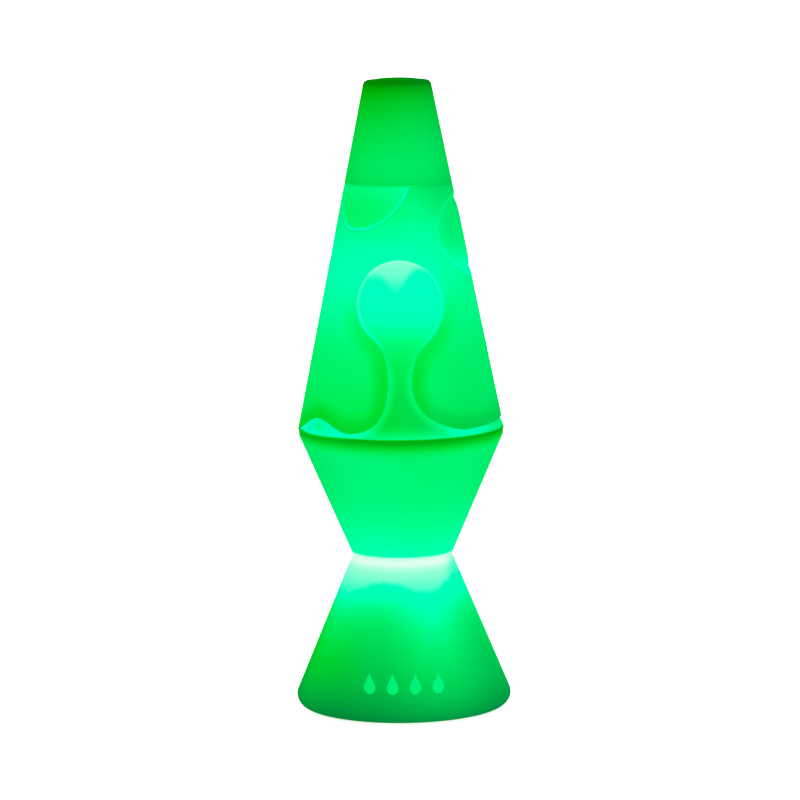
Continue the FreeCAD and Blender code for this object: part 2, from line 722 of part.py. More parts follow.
def globe_shell():
    """The long cone with the lava relief: each pad stands proud of the cone, inside a groove."""
    tongue_foot = f"({RIM} - rim_tongue)"
    seam_root = f"({SEAM} - cap_tongue / 2)"
    tongue_top = f"({SEAM} + cap_tongue)"
    cap_seat = f"({upper_cone(SEAM)} - shell_wall - fit_gap)"
    cap_seat_top = f"({upper_cone(tongue_top)} - shell_wall - fit_gap)"
    wall = turned(
        "globe_wall",
        [
            ("globe_radius", RIM),
            (upper_cone(SEAM), SEAM),
            (cap_seat, SEAM),
            (cap_seat_top, tongue_top),
            (f"{cap_seat_top} - tongue_wall", tongue_top),
            (f"{cap_seat} - tongue_wall", f"{SEAM} - tongue_wall"),
            (f"{upper_cone(seam_root)} - shell_wall", f"{seam_root} - tongue_wall"),
            (f"{upper_cone(f'{RIM} + rim_tongue')} - shell_wall", f"{RIM} + rim_tongue"),
            (f"{cup_seat('rim_band')} - tongue_wall", f"{RIM} - rim_band"),
            (f"{cup_seat('rim_tongue')} - tongue_wall", tongue_foot),
            (cup_seat("rim_tongue"), tongue_foot),
            ("rim_radius - shell_wall - fit_gap", f"{RIM} - rim_band"),
            ("rim_radius - shell_wall - fit_gap", RIM),
        ],
    )
    grooves = []
    pads = []
    for name, (side, closed, shares) in LAVA.items():
        whole = lava_prism(f"{name}_edge", side, closed, shares, 0)
        middle = lava_prism(f"{name}_middle", side, closed, shares, value("relief_edge"))
        skin = relief_layer(f"{name}_skin", f"({RIM} - 1)", f"({SEAM} + 1)", ("-relief_sunk",) * 2, ("3", "3"))
        proud = ("relief_rim_proud", "relief_proud")
        layer = relief_layer(f"{name}_layer", RIM, SEAM, ("-relief_sunk * 1.2",) * 2, proud)
        grooves.append(common(f"{name}_groove", whole, skin))
        pads.append(common(f"{name}_pad", middle, layer))
    return node("globe_shell", fuse("globe_solid", [cut("globe_grooved", wall, grooves)] + pads))


def cap_shell():
    """The closed cone on top, with a low raised disc."""
    inner_top = f"({TOP} - shell_wall)"
    return node(
        "cap_shell",
        turned(
            "cap",
            [
                (upper_cone(SEAM), SEAM),
                ("top_radius", TOP),
                ("disc_radius", TOP),
                ("disc_radius", f"{TOP} + disc_proud"),
                ("0", f"{TOP} + disc_proud"),
                ("0", inner_top),
                (f"{upper_cone(inner_top)} - shell_wall", inner_top),
                (f"{upper_cone(SEAM)} - shell_wall", SEAM),
            ],
            [("top_radius", TOP, "cap_corner")],
        ),
    )


def neck_lock_ring():
    """The wedge ring on the cup's neck that draws the base's top up against the cup."""

    def seat(drop):
        return f"({base_cone(f'{WAIST} - {drop}')} - base_wall - fit_gap)"

    return node(
        "neck_lock_ring",
        turned(
            "lock_ring",
            [
                (NECK, f"{WAIST} - lock_ring_low"),
                (seat("lock_ring_low"), f"{WAIST} - lock_ring_low"),
                (seat("lock_ring_high"), f"{WAIST} - lock_ring_high"),
                (NECK, f"{WAIST} - lock_ring_high"),
            ],
        ),
    )


# ---------------------------------------------------------------- bottom housing


def bottom_housing():
    """The bottom plate with the cell box, the control board's posts, the mast pad and the switch cradle."""
    clip = rod("housing_clip", f"{SEAT} - floor_lip - plate_gap", (PLATE_TOP, TOP))
    ledge = middle_box(
        "housing_ledge",
        f"{DOOR_X} + door_gap + ledge_overlap",
        f"{DOOR_Y} + door_gap + ledge_overlap",
        (PLATE_TOP, f"{PLATE_TOP} + ledge_thickness"),
    )
    walls = middle_box("housing_walls", f"{BOX_X} + box_wall", f"{BOX_Y} + box_wall", (PLATE_TOP, ROOF_TOP))
    solids = [
        rod("housing_plate", f"{SEAT} - plate_gap", ("foot_proud", PLATE_TOP)),
        common("housing_upper", fuse("housing_box", [ledge, walls]), clip),
        rod("housing_pad", "mast_flange", (ROOF_TOP, PAD_TOP)),
    ]
    for sx in (-1, 1):
        for sy in (-1, 1):
            x, y = f"{sx} * post_x", f"{sy} * post_y"
            solids.append(rod(f"control_post_{sx + 1}{sy + 1}", "post_radius", (ROOF_TOP, CONTROL), x, y))
    inner = "switch_width / 2"
    cradle = ((f"-{inner} - cradle_wall", f"-{inner}"), (inner, f"{inner} + cradle_wall"))
    for sy, (low, high) in enumerate(cradle):
        ends = (f"{SWITCH_Y} + {low}", f"{SWITCH_Y} + {high}")
        tall = (PLATE_TOP, f"{SWITCH} + switch_height")
        solids.append(box(f"switch_cradle_{sy}", ("-switch_length / 2", "switch_length / 2"), ends, tall))
    cell_room = middle_box("cell_room", BOX_X, BOX_Y, ("foot_proud - 1", ROOF))
    door_tall = ("foot_proud - 1", PLATE_TOP)
    door_room = middle_box("door_room", f"{DOOR_X} + door_gap", f"{DOOR_Y} + door_gap", door_tall)
    tools = [cell_room, door_room]
    for side, low in (("left", f"-({DOOR_X}) - door_gap - pin_reach"), ("right", DOOR_X)):
        ends = (low, f"{low} + door_gap + pin_reach")
        tools.append(level_rod(f"hinge_hole_{side}", "pin_radius + running_gap", ends, HINGE_Y, HINGE_Z))
    bore = ("foot_proud - 1", "foot_proud + screw_head_height")
    for i, angle in enumerate(four_ways("screw_angle")):
        x, y = on_circle(SCREW_CIRCLE, angle)
        tools.append(rod(f"plate_hole_{i}", "screw_radius", ("foot_proud", PLATE_TOP), x, y))
        tools.append(rod(f"plate_bore_{i}", "screw_head + head_gap", bore, x, y))
    for i, angle in enumerate(four_ways("foot_angle")):
        x, y = on_circle(FOOT_CIRCLE, angle)
        tools.append(rod(f"foot_seat_{i}", "foot_radius", ("foot_proud - 1", "foot_proud + foot_depth"), x, y))
    for sx in (-1, 1):
        for sy in (-1, 1):
            x, y = f"{sx} * post_x", f"{sy} * post_y"
            low = f"{CONTROL_TOP} - small_length"
            tools.append(rod(f"control_pilot_{sx + 1}{sy + 1}", "small_screw", (low, CONTROL), x, y))
    for i, (x, y) in enumerate(mast_screw_places()):
        low = f"{PAD_TOP} + mast_flange_thickness - small_length"
        tools.append(rod(f"mast_pilot_{i}", "small_screw", (low, PAD_TOP), x, y))
    slot_x = ("-(knob_length + switch_travel) / 2 - slot_gap", "(knob_length + switch_travel) / 2 + slot_gap")
    slot_y = (f"{SWITCH_Y} - knob_width / 2 - slot_gap", f"{SWITCH_Y} + knob_width / 2 + slot_gap")
    tools.append(box("knob_slot", slot_x, slot_y, ("foot_proud - 1", PLATE_TOP)))
    open_box = cut("housing_open", fuse("housing_solid", solids), tools)
    dividers = []
    for sy in (-1, 1):
        centre = f"{sy} * {CELL_PITCH} / 2"
        ends = (f"{centre} - divider_width / 2", f"{centre} + divider_width / 2")
        tall = (f"{ROOF} - divider_depth", f"{ROOF} + box_wall / 2")
        long = (f"-{BOX_X} + spring_length", f"{BOX_X} - spring_length")
        dividers.append(box(f"divider_{sy + 1}", long, ends, tall))
    return node("bottom_housing", fuse("housing_with_dividers", [open_box] + dividers))


def mast_screw_places():
    """Three (x, y) places on the mast's screw circle."""
    return [on_circle("mast_screw_circle", angle) for angle in (90, 210, 330)]


HINGE_Y = f"(-({DOOR_Y}) + door_thickness / 2)"
HINGE_Z = "(foot_proud + door_thickness / 2)"


def battery_door():
    """The door under the cells, hinged along its front edge on two pins, with a finger notch at the back."""
    flat = ("foot_proud", "foot_proud + door_thickness")
    solids = [
        box("door_flat", (f"-({DOOR_X})", DOOR_X), (HINGE_Y, DOOR_Y), flat),
        level_rod("door_round", "door_thickness / 2", (f"-({DOOR_X})", DOOR_X), HINGE_Y, HINGE_Z),
        level_rod(
            "door_pins", "pin_radius", (f"-({DOOR_X}) - pin_reach", f"{DOOR_X} + pin_reach"), HINGE_Y, HINGE_Z
        ),
    ]
    notch = rod("door_notch", "notch_radius", ("foot_proud - 1", "foot_proud + notch_depth"), "0", DOOR_Y)
    return node("battery_door", cut("door_cut", fuse("door_solid", solids), [notch]))


def housing_screws():
    """Four screws up through the bottom plate into the base shell's posts."""
    made = []
    head = ("foot_proud", "foot_proud + screw_head_height")
    shank = (head[1], f"{head[1]} + screw_length")
    for i, angle in enumerate(four_ways("screw_angle")):
        x, y = on_circle(SCREW_CIRCLE, angle)
        made.append(screw(f"housing_screw_{i}", "screw_radius", "screw_head", head, shank, x, y))
    return node("housing_screws", group("housing_screw_set", made))


def rubber_feet():
    """Four round feet let into the bottom plate."""
    feet = []
    for i, angle in enumerate(four_ways("foot_angle")):
        x, y = on_circle(FOOT_CIRCLE, angle)
        feet.append(rod(f"foot_{i}", "foot_radius", ("0", "foot_proud + foot_depth"), x, y))
    return node("rubber_feet", group("foot_set", feet))


# ---------------------------------------------------------------- cells and contacts


def battery_cells():
    """Three cells side by side, each one turned end for end from the last."""
    for i in (-1, 0, 1):
        way = -1 if i == 0 else 1
        nub_end = f"{BOX_X} - contact_thickness"
        shoulder = f"{nub_end} - nub_height"
        flat_end = f"{nub_end} - cell_length"
        can = (flat_end, shoulder) if way > 0 else (f"-({shoulder})", f"-({flat_end})")
        nub = (shoulder, nub_end) if way > 0 else (f"-({nub_end})", f"-({shoulder})")
        y = f"{i} * {CELL_PITCH}"
        solids = [
            level_rod(f"can_{i + 2}", "cell_diameter / 2", can, y, CELL_AXIS),
            level_rod(f"nub_{i + 2}", "nub_radius", nub, y, CELL_AXIS),
        ]
        node(f"battery_cell_{i + 2}", fuse(f"cell_{i + 2}", solids))


def contact_springs():
    """A coil spring of eight-sided wire at each cell's flat end, between the contact plate and the cell."""
    wire = value("spring_wire")
    coil_radius = value("spring_radius")
    travel = value("spring_length") - 2 * wire
    turns = [math.radians(45 * k) for k in range(8)]
    section = [Vector(coil_radius + wire * math.cos(turn), 0, wire * math.sin(turn)) for turn in turns]
    coils = []
    for i in (-1, 0, 1):
        way = 1 if i == 0 else -1
        helix = Part.makeHelix(value("spring_pitch"), travel, coil_radius)
        coil = helix.makePipeShell([Part.makePolygon(section + section[:1])], True, True)
        face = value(BOX_X) - value("contact_thickness") - wire
        coil.Placement = Placement(
            Vector(way * face, i * value(CELL_PITCH), value(CELL_AXIS)),
            Rotation(Vector(0, 1, 0), -90 * way),
        )
        coils.append(shaped(f"spring_{i + 2}", coil))
    return node("contact_springs", group("spring_set", coils))


def contact_plates():
    """Sheet contacts on the box's end walls: two single ones and two that bridge neighbouring cells."""
    face = f"{BOX_X} - contact_thickness"
    height = (f"{CELL_AXIS} - contact_height / 2", f"{CELL_AXIS} + contact_height / 2")
    edge = "contact_height / 2"
    spans = {
        ("left", "single"): (f"-{CELL_PITCH} - {edge}", f"-{CELL_PITCH} + {edge}"),
        ("left", "bridge"): (f"-{edge}", f"{CELL_PITCH} + {edge}"),
        ("right", "bridge"): (f"-{CELL_PITCH} - {edge}", edge),
        ("right", "single"): (f"{CELL_PITCH} - {edge}", f"{CELL_PITCH} + {edge}"),
    }
    plates = []
    for (side, kind), span in spans.items():
        x = (face, BOX_X) if side == "right" else (f"-{BOX_X}", f"-({face})")
        plates.append(box(f"contact_{side}_{kind}", x, span, height))
    return node("contact_plates", group("contact_set", plates))


# ---------------------------------------------------------------- power switch


def power_switch():
    """The thumb slider under the plate, the slide switch above it and their lever. It rests at on."""
    rest = "-switch_travel / 2"
    knob_x = (f"{rest} - knob_length / 2", f"{rest} + knob_length / 2")
    knob_y = (f"{SWITCH_Y} - knob_width / 2", f"{SWITCH_Y} + knob_width / 2")
    guide_x = (f"{knob_x[0]} - guide_margin", f"{knob_x[1]} + guide_margin")
    guide_y = (f"{SWITCH_Y} - guide_width / 2", f"{SWITCH_Y} + guide_width / 2")
    lever_x = (f"{rest} - lever_side / 2", f"{rest} + lever_side / 2")
    lever_y = (f"{SWITCH_Y} - lever_side / 2", f"{SWITCH_Y} + lever_side / 2")
    solids = [
        box("knob", knob_x, knob_y, ("foot_proud - knob_proud", GUIDE)),
        box("guide", guide_x, guide_y, (GUIDE, GUIDE_TOP)),
    ]
    grooves = []
    for i in (-1, 0, 1):
        groove = DOC.addObject("Part::Cylinder", f"knob_groove_{i + 1}")
        groove.Placement = Placement(Vector(), Rotation(Vector(1, 0, 0), -90))
        groove.setExpression("Radius", bound("knob_ridge"))
        groove.setExpression("Height", bound("knob_width + 2"))
        groove_x = f"{rest} + {i} * knob_length / 4"
        grooves.append(place(groove, groove_x, f"{knob_y[0]} - 1", "foot_proud - knob_proud"))
    node("power_slider", cut("slider_cut", fuse("slider_solid", solids), grooves))
    node("switch_lever", box("switch_lever_bar", lever_x, lever_y, (GUIDE_TOP, f"{GUIDE_TOP} + lever_reach")))
    case_y = (f"{SWITCH_Y} - switch_width / 2", f"{SWITCH_Y} + switch_width / 2")
    case_x = ("-switch_length / 2", "switch_length / 2")
    case = box("switch_case", case_x, case_y, (SWITCH, f"{SWITCH} + switch_height"))
    half = "(lever_side + switch_travel) / 2 + slot_gap"
    slot = box(
        "switch_slot",
        (f"-({half})", half),
        (f"{lever_y[0]} - slot_gap", f"{lever_y[1]} + slot_gap"),
        (f"{SWITCH} - 1", f"{GUIDE_TOP} + lever_reach + slot_gap"),
    )
    node("slide_switch", cut("switch_cut", case, [slot]))


# ---------------------------------------------------------------- colour button


def colour_button():
    """The button in the back wall, the tact switch behind it and the little board that carries the switch."""
    flange_back = "-flange_depth - flange_thickness"
    head = local_rod("button_head", "button_radius", flange_back, "button_proud")
    rounded = DOC.addObject("Part::Fillet", "button_rounded")
    rounded.Base = head
    DOC.recompute()
    top = value("button_proud")
    back = button_frame().inverse()
    outer = [
        (i, value("button_round"), value("button_round"))
        for i, edge in enumerate(head.Shape.Edges, start=1)
        if isinstance(edge.Curve, Part.Circle) and abs(back.multVec(edge.Curve.Center).z - top) < 0.01
    ]
    rounded.Edges = outer
    flange = local_rod("button_disc", "button_flange", flange_back, "-flange_depth")
    stem = local_rod("button_stem", "stem_radius", STEM_END, flange_back)
    node("colour_button", fuse("button_solid", [rounded, flange, stem]))
    plunger_low = f"{STEM_END} - plunger_length"
    node("tact_plunger", local_rod("plunger_rod", "plunger_radius", plunger_low, STEM_END))
    case = local_block("tact_case", "tact_side", "tact_side", TACT_BOTTOM, TACT_TOP)
    bore_radius = "plunger_radius + running_gap"
    bore = local_rod("tact_bore", bore_radius, f"{plunger_low} - plunger_room", f"{TACT_TOP} + 1")
    node("tact_switch", cut("tact_cut", case, [bore]))
    board = local_block(
        "button_board_flat", "button_board_width", "button_board_height", BUTTON_BOARD_BACK, TACT_BOTTOM
    )
    holes = []
    screws = []
    for side in (-1, 1):
        x = f"{side} * button_post_side"
        holes.append(local_rod(f"button_board_hole_{side + 1}", "small_screw", BUTTON_BOARD_BACK, TACT_BOTTOM, x))
        shank = local_rod(
            f"button_shank_{side + 1}",
            "small_screw",
            BUTTON_BOARD_BACK,
            f"{BUTTON_BOARD_BACK} + small_length",
            x,
        )
        low = f"{BUTTON_BOARD_BACK} - small_head_height"
        cap = local_rod(f"button_screw_head_{side + 1}", "small_head", low, BUTTON_BOARD_BACK, x)
        screws.append(fuse(f"button_screw_{side + 1}", [shank, cap]))
    node("button_board", cut("button_board_cut", board, holes))
    node("button_board_screws", group("button_screw_set", screws))


# ---------------------------------------------------------------- control board


def control_board():
    """The round board on the box roof with its chip, capacitor and harness plug, and its four screws."""
    flat = rod("control_flat", "control_radius", (CONTROL, CONTROL_TOP))
    holes = [rod("control_middle", "control_hole", (f"{CONTROL} - 1", f"{CONTROL_TOP} + 1"))]
    screws = []
    for sx in (-1, 1):
        for sy in (-1, 1):
            x, y = f"{sx} * post_x", f"{sy} * post_y"
            key = f"{sx + 1}{sy + 1}"
            holes.append(rod(f"control_hole_{key}", "small_screw", (CONTROL, CONTROL_TOP), x, y))
            head = (CONTROL_TOP, f"{CONTROL_TOP} + small_head_height")
            shank = (f"{CONTROL_TOP} - small_length", CONTROL_TOP)
            screws.append(screw(f"control_screw_{key}", "small_screw", "small_head", head, shank, x, y))
    node("control_board", cut("control_cut", flat, holes))
    node("control_board_screws", group("control_screw_set", screws))
    leg = "chip_leg"
    body = box(
        "chip_body",
        ("-chip_length / 2", "chip_length / 2"),
        ("-part_circle - chip_width / 2", "-part_circle + chip_width / 2"),
        (f"{CONTROL_TOP} + {leg}", f"{CONTROL_TOP} + {leg} + chip_height"),
    )
    legs = []
    for i in range(4):
        x = f"chip_length * ({i} - 1.5) / 4"
        legs.append(
            box(
                f"chip_leg_{i}",
                (f"{x} - {leg} / 2", f"{x} + {leg} / 2"),
                ("-part_circle - chip_width / 2 - 1", "-part_circle + chip_width / 2 + 1"),
                (CONTROL_TOP, f"{CONTROL_TOP} + {leg} * 2"),
            )
        )
    node("controller_chip", fuse("chip_solid", [body] + legs))
    tall = (CONTROL_TOP, f"{CONTROL_TOP} + capacitor_height")
    node("board_capacitor", rod("capacitor_can", "capacitor_radius", tall, "-part_circle", "0"))
    plug_x = ("part_circle - plug_length / 2", "part_circle + plug_length / 2")
    plug_z = (CONTROL_TOP, f"{CONTROL_TOP} + plug_height")
    node("harness_plug", box("plug_block", plug_x, ("-plug_width / 2", "plug_width / 2"), plug_z))


# ---------------------------------------------------------------- mast and light


def light_mast():
    """The hollow mast that carries both sets of LEDs, screwed to the pad on the box roof."""
    flange_top = f"({PAD_TOP} + mast_flange_thickness)"
    head = f"({MAST_TOP} - mast_head_thickness)"
    column = turned(
        "mast_column",
        [
            ("mast_bore", PAD_TOP),
            ("mast_flange", PAD_TOP),
            ("mast_flange", flange_top),
            ("mast_shoulder", flange_top),
            ("mast_shoulder", DRUM),
            ("mast_radius", DRUM),
            ("mast_radius", head),
            (MAST_HEAD, head),
            (MAST_HEAD, MAST_TOP),
            ("mast_bore", MAST_TOP),
        ],
    )
    centre = harness_height()
    window = box(
        "mast_window",
        ("0", "mast_flange"),
        ("-window_width / 2", "window_width / 2"),
        (f"{centre} - window_height / 2", f"{centre} + window_height / 2"),
    )
    holes = [window]
    screws = []
    for i, (x, y) in enumerate(mast_screw_places()):
        holes.append(rod(f"mast_hole_{i}", "small_screw", (PAD_TOP, flange_top), x, y))
        head_z = (flange_top, f"{flange_top} + small_head_height")
        shank_z = (f"{flange_top} - small_length", flange_top)
        screws.append(screw(f"mast_screw_{i}", "small_screw", "small_head * 0.85", head_z, shank_z, x, y))
    node("light_mast", cut("mast_cut", column, holes))
    node("mast_screws", group("mast_screw_set", screws))


def harness_height():
    """The middle of the harness where it leaves its plug."""
    return f"({CONTROL_TOP} + plug_height / 2)"


def lower_lights():
    """The drum on the mast's shoulder, the flexible strip round it and the LEDs on the strip."""
    top = f"({DRUM} + drum_height)"
    drum = rod("drum_solid", "drum_radius", (DRUM, top))
    bore = rod("drum_bore", "mast_radius + running_gap", (f"{DRUM} - 1", f"{top} + 1"))
    node("led_drum", cut("drum_cut", drum, [bore]))
    outer = rod("strip_outer", "drum_radius + strip_thickness", (DRUM, top))
    inner = rod("strip_inner", "drum_radius", (f"{DRUM} - 1", f"{top} + 1"))
    node("led_strip", cut("strip_cut", outer, [inner]))
    low = f"({DRUM} + (drum_height - led_side) / 2)"
    radius = "(drum_radius + strip_thickness)"
    sides = ("-led_side / 2", "led_side / 2")
    leds = []
    for i in range(int(value("ring_leds"))):
        turn = f"(ring_led_turn + 360 * {i} / ring_leds)"
        out = (radius, f"{radius} + led_height")
        leds.append(turned_box(f"ring_led_{i}", out, sides, (low, f"{low} + led_side"), turn))
    node("lower_leds", group("ring_led_set", leds))


def upper_lights():
    """The board on the mast's head, its LEDs and the diffuser dome over them."""
    flat = rod("upper_flat", "upper_board_radius", (MAST_TOP, UPPER_BOARD_TOP))
    hole = rod("upper_hole", "upper_board_bore", (f"{MAST_TOP} - 1", f"{UPPER_BOARD_TOP} + 1"))
    node("upper_led_board", cut("upper_cut", flat, [hole]))
    leds = []
    for i in range(int(value("top_leds"))):
        turn = f"(360 * {i} / top_leds)"
        out = ("top_led_circle - top_led_side / 2", "top_led_circle + top_led_side / 2")
        sides = ("-top_led_side / 2", "top_led_side / 2")
        tall = (UPPER_BOARD_TOP, f"{UPPER_BOARD_TOP} + led_height")
        leds.append(turned_box(f"top_led_{i}", out, sides, tall, turn))
    node("upper_leds", group("top_led_set", leds))
    skirt_foot = f"({MAST_TOP} - mast_head_thickness)"
    skirt_top = f"({skirt_foot} + diffuser_skirt)"
    outer = DOC.addObject("Part::Sphere", "dome_outer")
    outer.setExpression("Radius", bound("diffuser_radius"))
    outer.Angle1 = 0
    place(outer, z=skirt_top)
    inner = DOC.addObject("Part::Sphere", "dome_inner")
    inner.setExpression("Radius", bound("diffuser_radius - diffuser_wall"))
    inner.Angle1 = 0
    place(inner, z=skirt_top)
    outside = fuse("dome_outside", [outer, rod("skirt_outer", "diffuser_radius", (skirt_foot, skirt_top))])
    room = rod("skirt_inner", "diffuser_radius - diffuser_wall", (f"{skirt_foot} - 1", skirt_top))
    node("diffuser_dome", cut("dome_cut", outside, [inner, room]))


# ---------------------------------------------------------------- harness and leads


def wiring():
    """The LED harness up the mast and the leads of the cells, the switch and the button."""
    level = value(harness_height())
    plug_face = value("part_circle - plug_length / 2")
    bend, radius = value("harness_bend"), value("harness_radius")
    harness = [Vector(plug_face, 0, level), Vector(0, 0, level), Vector(0, 0, value(UPPER_BOARD_TOP))]
    node("led_harness", shaped("harness_tube", tube_route(harness, min(bend, plug_face / 3), radius)))
    lead, lead_bend = value("lead_radius"), value("lead_bend")
    board = value(CONTROL)
    inside = value("control_radius - 3")
    # From the switch's top up to the control board's underside.
    case_top, switch_y = value(f"{SWITCH} + switch_height"), value(SWITCH_Y)
    switch_lead = [
        Vector(-2, switch_y, case_top),
        Vector(-2, switch_y, case_top + 3.5),
        Vector(-2, inside, board - 4),
        Vector(-2, inside, board),
    ]
    node("switch_lead", shaped("switch_lead_tube", tube_route(switch_lead, lead_bend, lead)))
    # From the button board's back, inwards and up to the control board's underside.
    frame = button_frame()
    start = frame.multVec(Vector(4, 2, value(BUTTON_BOARD_BACK)))
    inwards = frame.Rotation.multVec(Vector(0, 0, -1))
    corner = start + inwards * ((inside - start.y) / inwards.y)
    button_lead = [start, corner, Vector(4, inside, board)]
    node("button_lead", shaped("button_lead_tube", tube_route(button_lead, lead_bend, lead)))
    tails = []
    for side in (-1, 1):
        x = f"{side} * (post_x + 3.5)"
        y = f"{side} * (post_y - 4.5)"
        tails.append(rod(f"tail_{side + 1}", "lead_radius", (ROOF_TOP, CONTROL), x, y))
    node("contact_tails", group("tail_set", tails))


def check_document():
    """Stops if any object failed to build, or any sub-part is empty or invalid."""
    DOC.recompute()
    for thing in DOC.Objects:
        if {"Invalid", "Error"} & set(thing.State):
            raise RuntimeError(f"{thing.Name} did not build: {thing.State}")
    for name, piece in NODES.items():
        shape = piece.Shape
        if shape.isNull() or not shape.isValid() or not shape.Solids:
            raise RuntimeError(f"{name} has no valid solid")
    labels = [piece.Label for piece in NODES.values()]
    if len(set(labels)) != len(labels):
        raise RuntimeError("two sub-parts share a label")


base_shell()
cup_shell()
globe_shell()
cap_shell()
neck_lock_ring()
bottom_housing()
battery_door()
housing_screws()
rubber_feet()
battery_cells()
contact_springs()
contact_plates()
power_switch()
colour_button()
control_board()
light_mast()
lower_lights()
upper_lights()
wiring()
check_document()

os.makedirs("parts", exist_ok=True)
for name, piece in NODES.items():
    piece.Shape.exportStep(f"parts/{name}.step")
print(len(NODES), "sub-parts written")
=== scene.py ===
"""Looks of a desk mood lamp in the shape of a lava lamp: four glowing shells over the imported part.

The frame is the part's own: +Z up, the front towards -Y. Shapes are worked out in millimetres and put
into the meshes in metres. A facing angle is 0 at the front, 90 degrees on the +X side and 180 at the
back.
"""

import math

import bpy
import numpy as np
from mathutils import Matrix, Vector


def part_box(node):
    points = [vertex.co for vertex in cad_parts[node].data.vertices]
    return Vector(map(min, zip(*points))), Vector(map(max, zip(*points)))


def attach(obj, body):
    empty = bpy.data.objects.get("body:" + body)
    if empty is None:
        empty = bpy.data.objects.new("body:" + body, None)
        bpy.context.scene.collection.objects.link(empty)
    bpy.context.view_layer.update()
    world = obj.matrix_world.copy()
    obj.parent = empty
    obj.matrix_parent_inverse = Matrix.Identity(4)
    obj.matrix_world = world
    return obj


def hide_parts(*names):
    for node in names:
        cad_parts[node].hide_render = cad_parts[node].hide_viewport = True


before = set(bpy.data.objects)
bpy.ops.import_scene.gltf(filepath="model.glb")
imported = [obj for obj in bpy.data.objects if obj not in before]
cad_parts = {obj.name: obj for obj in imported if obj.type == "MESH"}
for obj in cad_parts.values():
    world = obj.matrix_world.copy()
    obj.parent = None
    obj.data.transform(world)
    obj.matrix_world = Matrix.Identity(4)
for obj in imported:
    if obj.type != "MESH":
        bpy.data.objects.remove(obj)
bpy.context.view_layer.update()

MM = 0.001


def low_high(name):
    """A node's lowest and highest corners in millimetres."""
    low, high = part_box(name)
    return np.array(low) / MM, np.array(high) / MM


# ---------------------------------------------------------------- sizes, in millimetres

FOOT = low_high("base_shell")[0][2]
WAIST = low_high("base_shell")[1][2]
RIM = low_high("cup_shell")[1][2]
SEAM = low_high("cap_shell")[0][2]
TOP = low_high("cap_shell")[1][2]

BASE_RADIUS = 50.3
BASE_CORNER = 5.2
BASE_INNER_CORNER = 4.0
BASE_TOP_RADIUS = 21.9
BASE_WALL = 2.4
PLATE_SEAT = 38.2
PLATE_LIP = 33.4
PLATE_TOP = 2.8
LIP_TOP = 4.8

CUP_BOTTOM_RADIUS = 22.2
RIM_RADIUS = 45.3
RIM_BAND = 2.5
SHELL_WALL = 2.2
CUP_FLOOR = 2.0
NECK_RADIUS = 19.3
NECK_WALL = 1.8
NECK_LENGTH = 10.0

GLOBE_RADIUS = 45.7
GLOBE_HEIGHT = SEAM - RIM
TOP_RADIUS = 14.65
CAP_CORNER = 2.2
DISC_RADIUS = 8.4
DISC_PROUD = 0.6
CAP_TOP = TOP - DISC_PROUD
TONGUE_GAP = 0.15
TONGUE_WALL = 1.6
RIM_TONGUE = 5.5
CAP_TONGUE = 6.0
EDGE_ROUND = 0.35

RELIEF_SUNK = 1.4
RELIEF_RIM_PROUD = 0.3
RELIEF_SEAM_PROUD = 0.25
RELIEF_RUN = 9.0

MARK_LEVEL = 18.2
MARK_HEIGHT = 9.0
MARK_WIDTH = 5.4
MARK_PITCH = 10.0
MARK_PROUD = 0.4

BUTTON_HEIGHT = 24.0
BUTTON_HOLE = 4.75
# half the height of the block of grid that is squeezed round the hole, and its rows
BUTTON_BLOCK = 7.4
BUTTON_ROWS = 33

# facing angle of the first of the lower ring's four LEDs, in degrees
LED_TURN = 24.0

BASE_SLOPE = (BASE_RADIUS - BASE_TOP_RADIUS) / (WAIST - FOOT)
CUP_SLOPE = (RIM_RADIUS - CUP_BOTTOM_RADIUS) / (RIM - RIM_BAND - WAIST)
UPPER_SLOPE = (GLOBE_RADIUS - TOP_RADIUS) / (CAP_TOP - RIM)


def base_cone(z):
    """Radius of the base's outer cone at a height."""
    return BASE_RADIUS - BASE_SLOPE * (z - FOOT)


def cup_cone(z):
    """Radius of the cup's outer cone at a height."""
    return CUP_BOTTOM_RADIUS + CUP_SLOPE * (z - WAIST)


def upper_cone(z):
    """Radius of the cone that the globe and the cap share at a height."""
    return GLOBE_RADIUS - UPPER_SLOPE * (z - RIM)


# ---------------------------------------------------------------- lava outlines

